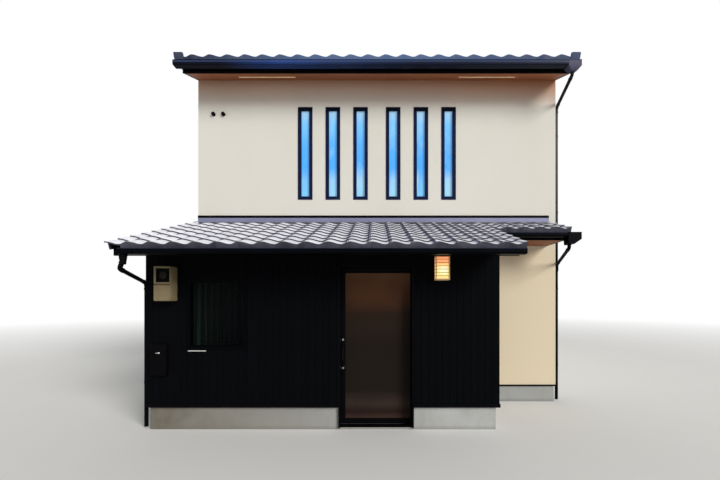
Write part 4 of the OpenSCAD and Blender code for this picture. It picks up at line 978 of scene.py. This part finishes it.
def utility_case():
    """A flat wall box with a door, two hinges and a latch."""
    shape = Shape()
    x0, x1, y0, z0, z1 = -2.9585, -2.7485, -1.323, 0.727, 1.135
    rounded_case(shape, (x0, y0 + 0.006, z0), (x1, ROOM_Y, z1), 0.008)
    shape.box((x0 + 0.010, y0, z0 + 0.010), (x1 - 0.010, y0 + 0.010, z1 - 0.010))
    for z in (z0 + 0.060, z1 - 0.090):
        shape.disc((x0 + 0.010, y0 + 0.004, z), 0.005, 0.030, "z", 12)
    shape.finish("utility_case", DARK_CASE, "box", ["utility_box"], bevel=0.0015)
    latch = Shape()
    x, z = x0 + 0.122, 1.0255
    latch.box((x - 0.042, y0 - 0.005, z - 0.005), (x - 0.004, y0 - 0.001, z + 0.002))
    latch.box((x - 0.010, y0 - 0.007, z - 0.008), (x + 0.010, y0 - 0.001, z + 0.008))
    latch.disc((x, y0 + 0.001, z), 0.006, -0.004, "y", 14)
    latch.finish("utility_latch", BRIGHT, "box", bevel=0.001)


def door_handle():
    """A long plate with a grip on two posts, and two round locks of bright metal."""
    x, z, plate_y = -0.4675, 0.690, -1.113
    plate = Shape()
    rounded_case(plate, (x - 0.016, plate_y, z), (x + 0.016, -1.105, z + 0.535), 0.012)
    plate.finish("handle_plate", DARK_CASE, "handle", ["door_handle"], "door", 0.0008)
    grip = Shape()
    for post in (0.235, 0.362):
        grip.tube([(x, plate_y, z + post), (x, plate_y - 0.040, z + post)], 0.006, 14)
    grip.tube([(x, plate_y - 0.042, z + 0.222), (x, plate_y - 0.042, z + 0.375)], 0.0078, 18)
    grip.finish("handle_grip", DARK_STEEL, "handle", body="door", bevel=0.0008)
    locks = Shape()
    for lock in (0.100, 0.485):
        for radius, out in ((0.015, -0.006), (0.011, -0.010)):
            locks.disc((x, plate_y, z + lock), radius, out, "y", 28)
    locks.finish("handle_locks", STEEL, "handle", body="door", bevel=0.0008)


def lantern():
    """A box of light wood round the lit shade: corner posts, two caps and thin dark slats."""
    x0, x1, y0, y1, z0, z1 = 0.7475, 0.9265, -1.393, ROOM_Y, 1.970, 2.290
    post, cap, back, zones = 0.012, 0.012, 0.008, 7
    case = Shape()
    case.box((x0, y1 - back, z0), (x1, y1, z1))
    for z in (z0, z1 - cap):
        case.box((x0, y0, z), (x1, y1 - back, z + cap))
    for x in (x0, x1 - post):
        for y in (y0, y1 - back - post):
            case.box((x, y, z0 + cap), (x + post, y + post, z1 - cap))
    case.finish("lantern_case", LIGHT_WOOD, "brown_timber", ["lamp_frame"], bevel=0.001)
    slats = Shape()
    step = (z1 - z0 - 2 * cap) / zones
    spans = [(z0 + cap + k * step - 0.003, z0 + cap + k * step + 0.003) for k in range(1, zones)]
    spans += [(z0 + cap, z0 + cap + 0.004), (z1 - cap - 0.010, z1 - cap)]
    for low, high in spans:
        slats.box((x0 + post, y0 + 0.002, low), (x1 - post, y0 + 0.008, high))
        for x in (x0 + 0.002, x1 - 0.008):
            slats.box((x, y0 + post, low), (x + 0.006, y1 - back - post, high))
    slats.finish("lantern_slats", SLAT_WOOD, "brown_timber")


def letter_bar():
    """A bright bar, and the black letter flap close under it."""
    x0, x1, top = -2.4945, -2.2375, 1.056
    bar = Shape()
    bar.box((x0 + 0.008, ROOM_Y - 0.018, top - 0.016), (x1 - 0.012, ROOM_Y, top - 0.004))
    bar.finish("letter_bar", BRIGHT, "letter", ["letter_slot"], bevel=0.0015)
    flap = Shape()
    flap.box((x0 + 0.005, ROOM_Y - 0.012, top - 0.026), (x1 - 0.005, ROOM_Y, top - 0.0175))
    flap.finish("letter_flap", DARK_CASE, "letter", bevel=0.001)


def gutter_beads():
    """Rolled rims along the lower gutters' fronts."""
    shape = Shape()
    bead = 0.004
    for x0, x1, lip_y, lip_z in ((-2.8935, 1.6565, -1.976, 2.2856), (1.6925, 2.8175, -0.726, 2.7091)):
        shape.tube([(x, lip_y + bead, lip_z) for x in (x0, x1)], bead, 10)
    shape.finish("gutter_rims", RIM, "trim")


def rain_boxes():
    """Boxes round the upper gutters where their pipes start, tapered down to the pipes."""
    shape = Shape()
    half_foot, z_foot, z_low, z_lip, z_top = 0.037, 5.185, 5.250, 5.330, 5.344
    for x0, y0, x1, y1, (x, y) in (
            (2.885, -0.619, 3.087, -0.496, FRONT_PIPE[0]),
            (2.780, HOUSE_D + 0.496, 2.945, HOUSE_D + 0.615, BACK_PIPE[0])):
        foot = rectangle(x - half_foot, y - half_foot, x + half_foot, y + half_foot)
        side = rectangle(x0, y0, x1, y1)
        shape.skin([[(a, b, z) for a, b in ring]
                    for ring, z in ((foot, z_foot), (side, z_low), (side, z_lip))])
        shape.box((x0 - 0.004, y0 + 0.0005, z_lip), (x1 + 0.001, y1 + 0.0005, z_top))
    shape.finish("rain_boxes", RAIN_BOX, "trim", bevel=0.006)


def curtain():
    """A gathered curtain, whose flat width follows from how deep its folds are."""
    x0, x1, z0, z1 = -2.5595, -1.6665, 0.972, 2.080
    flat_h, depth = z1 - z0, 0.023
    middle_y = -1.043
    crests = [0.0, 0.075, 0.150, 0.235, 0.310, 0.400, 0.480, 0.560, 0.650, 0.730, 0.812, 0.893]
    samples = 260
    xs = np.linspace(0.0, x1 - x0, samples)
    phase = np.interp(xs, crests, np.arange(len(crests)) * 2 * math.pi)

    def wave(t):
        slip = 0.25 * math.sin(3.1 * t) + 0.15 * np.sin(phase * 0.31 + 2.0 * t)
        return depth * (0.80 + 0.20 * np.sin(phase * 0.23 + 1.3)) * np.sin(phase + slip)

    rows = 24
    grid = [np.stack([x0 + xs, middle_y + wave(t), np.full(samples, z0 + t * flat_h)], -1)
            for t in (k / rows for k in range(rows + 1))]
    faces = [(r * samples + c, r * samples + c + 1, (r + 1) * samples + c + 1, (r + 1) * samples + c)
             for r in range(rows) for c in range(samples - 1)]
    piece = add_mesh("hung_curtain", (np.concatenate(grid) + HOUSE_TO_FRAME).tolist(), faces)
    piece.data.polygons.foreach_set("use_smooth", [True] * len(faces))
    piece.data.materials.append(CLOTH)
    thick = piece.modifiers.new("Cloth thickness", "SOLIDIFY")
    thick.thickness, thick.offset = 0.0012, 0.0
    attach(piece, "house")
    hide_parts("curtain")


tile_rng = random.Random(7)
lower_roof(tile_rng)
upper_roof("upper_roof_front_tiles", False, tile_rng)
upper_roof("upper_roof_back_tiles", True, tile_rng)
ridge_tiles()
front_boards()
side_boards()
downpipes()
meter()
utility_case()
lantern()
letter_bar()
gutter_beads()
rain_boxes()
door_handle()
curtain()


# Floor, light and camera

def stage_floor():
    """A pale floor that fades to plain white light far from the house."""
    half, below, near, far = 60.0, 0.0005, 9.0, 30.0
    floor = add_mesh("studio_floor", [(x, y, 0) for x, y in rectangle(-half, -half, half, half)],
                     [(0, 1, 2, 3)])
    floor.location.z = -below
    f = Finish("floor_paint", (236, 235, 232), 0.9, specular=0.1)
    f.mottle(0.8, 0.4, 0.7, 0.3, (232, 231, 227))
    f.bump(f.noise(80.0), 0.001, 0.2)
    distance = f.node("ShaderNodeVectorMath", {0: f.place}, operation="LENGTH").outputs["Value"]
    white = f.node("ShaderNodeEmission", {"Color": WHITE})
    mix = f.node("ShaderNodeMixShader", {"Fac": f.spread(distance, near, far),
                                         1: f.shader.outputs["BSDF"], 2: white.outputs["Emission"]})
    f.tree.links.new(mix.outputs["Shader"], f.tree.nodes["Material Output"].inputs["Surface"])
    floor.data.materials.append(f.material)


def soft_world(strength, tone):
    """Even light from all round, and white wherever the camera or a gloss sees past the house."""
    world = bpy.data.worlds.new("studio")
    bpy.context.scene.world = world
    world.use_nodes = True
    tree = world.node_tree
    tree.nodes.clear()
    rays = add_node(tree, "ShaderNodeLightPath").outputs
    seen = rays["Is Camera Ray"]
    for ray in ("Is Glossy Ray", "Is Transmission Ray"):
        seen = add_node(tree, "ShaderNodeMath", {0: seen, 1: rays[ray]}, operation="MAXIMUM").outputs[0]
    light = add_node(tree, "ShaderNodeBackground", {"Color": tone, "Strength": strength})
    white = add_node(tree, "ShaderNodeBackground", {"Color": WHITE})
    mix = add_node(tree, "ShaderNodeMixShader", {"Fac": seen, 1: light.outputs[0], 2: white.outputs[0]})
    add_node(tree, "ShaderNodeOutputWorld", {"Surface": mix.outputs[0]})


def sun(strength, wide, tilt, turn, tone):
    data = bpy.data.lights.new("soft_sun", "SUN")
    data.energy, data.angle, data.color = strength, math.radians(wide), tone
    lamp = add_object("soft_sun", data)
    lamp.rotation_euler = (math.radians(tilt), 0, math.radians(turn))


# The photo's focal length, size and vanishing point in pixels, and the eye in house coordinates
FOCAL_PX, PICTURE_W, PICTURE_H = 340.0, 720, 480
MIDDLE_X, HORIZON_Y = 375.0, 300.0
EYE = (-0.032, -5.737, 1.714)


def camera():
    """One-point perspective from the street, its frame shifted up and to the left."""
    data = bpy.data.cameras.new("street")
    data.sensor_width = 36.0
    data.lens = FOCAL_PX / PICTURE_W * data.sensor_width
    data.shift_x = (PICTURE_W / 2 - MIDDLE_X) / PICTURE_W
    data.shift_y = (HORIZON_Y - PICTURE_H / 2) / PICTURE_W
    eye = add_object("street", data)
    eye.location = tuple(np.array(EYE) + HOUSE_TO_FRAME)
    eye.rotation_euler = (math.radians(90), 0, 0)
    bpy.context.scene.camera = eye


stage_floor()
soft_world(0.38, (0.95, 0.97, 1.0, 1.0))
sun(2.85, 26, 66, 42, (1.0, 0.985, 0.96))
camera()
bpy.context.scene.view_settings.view_transform = "Standard"
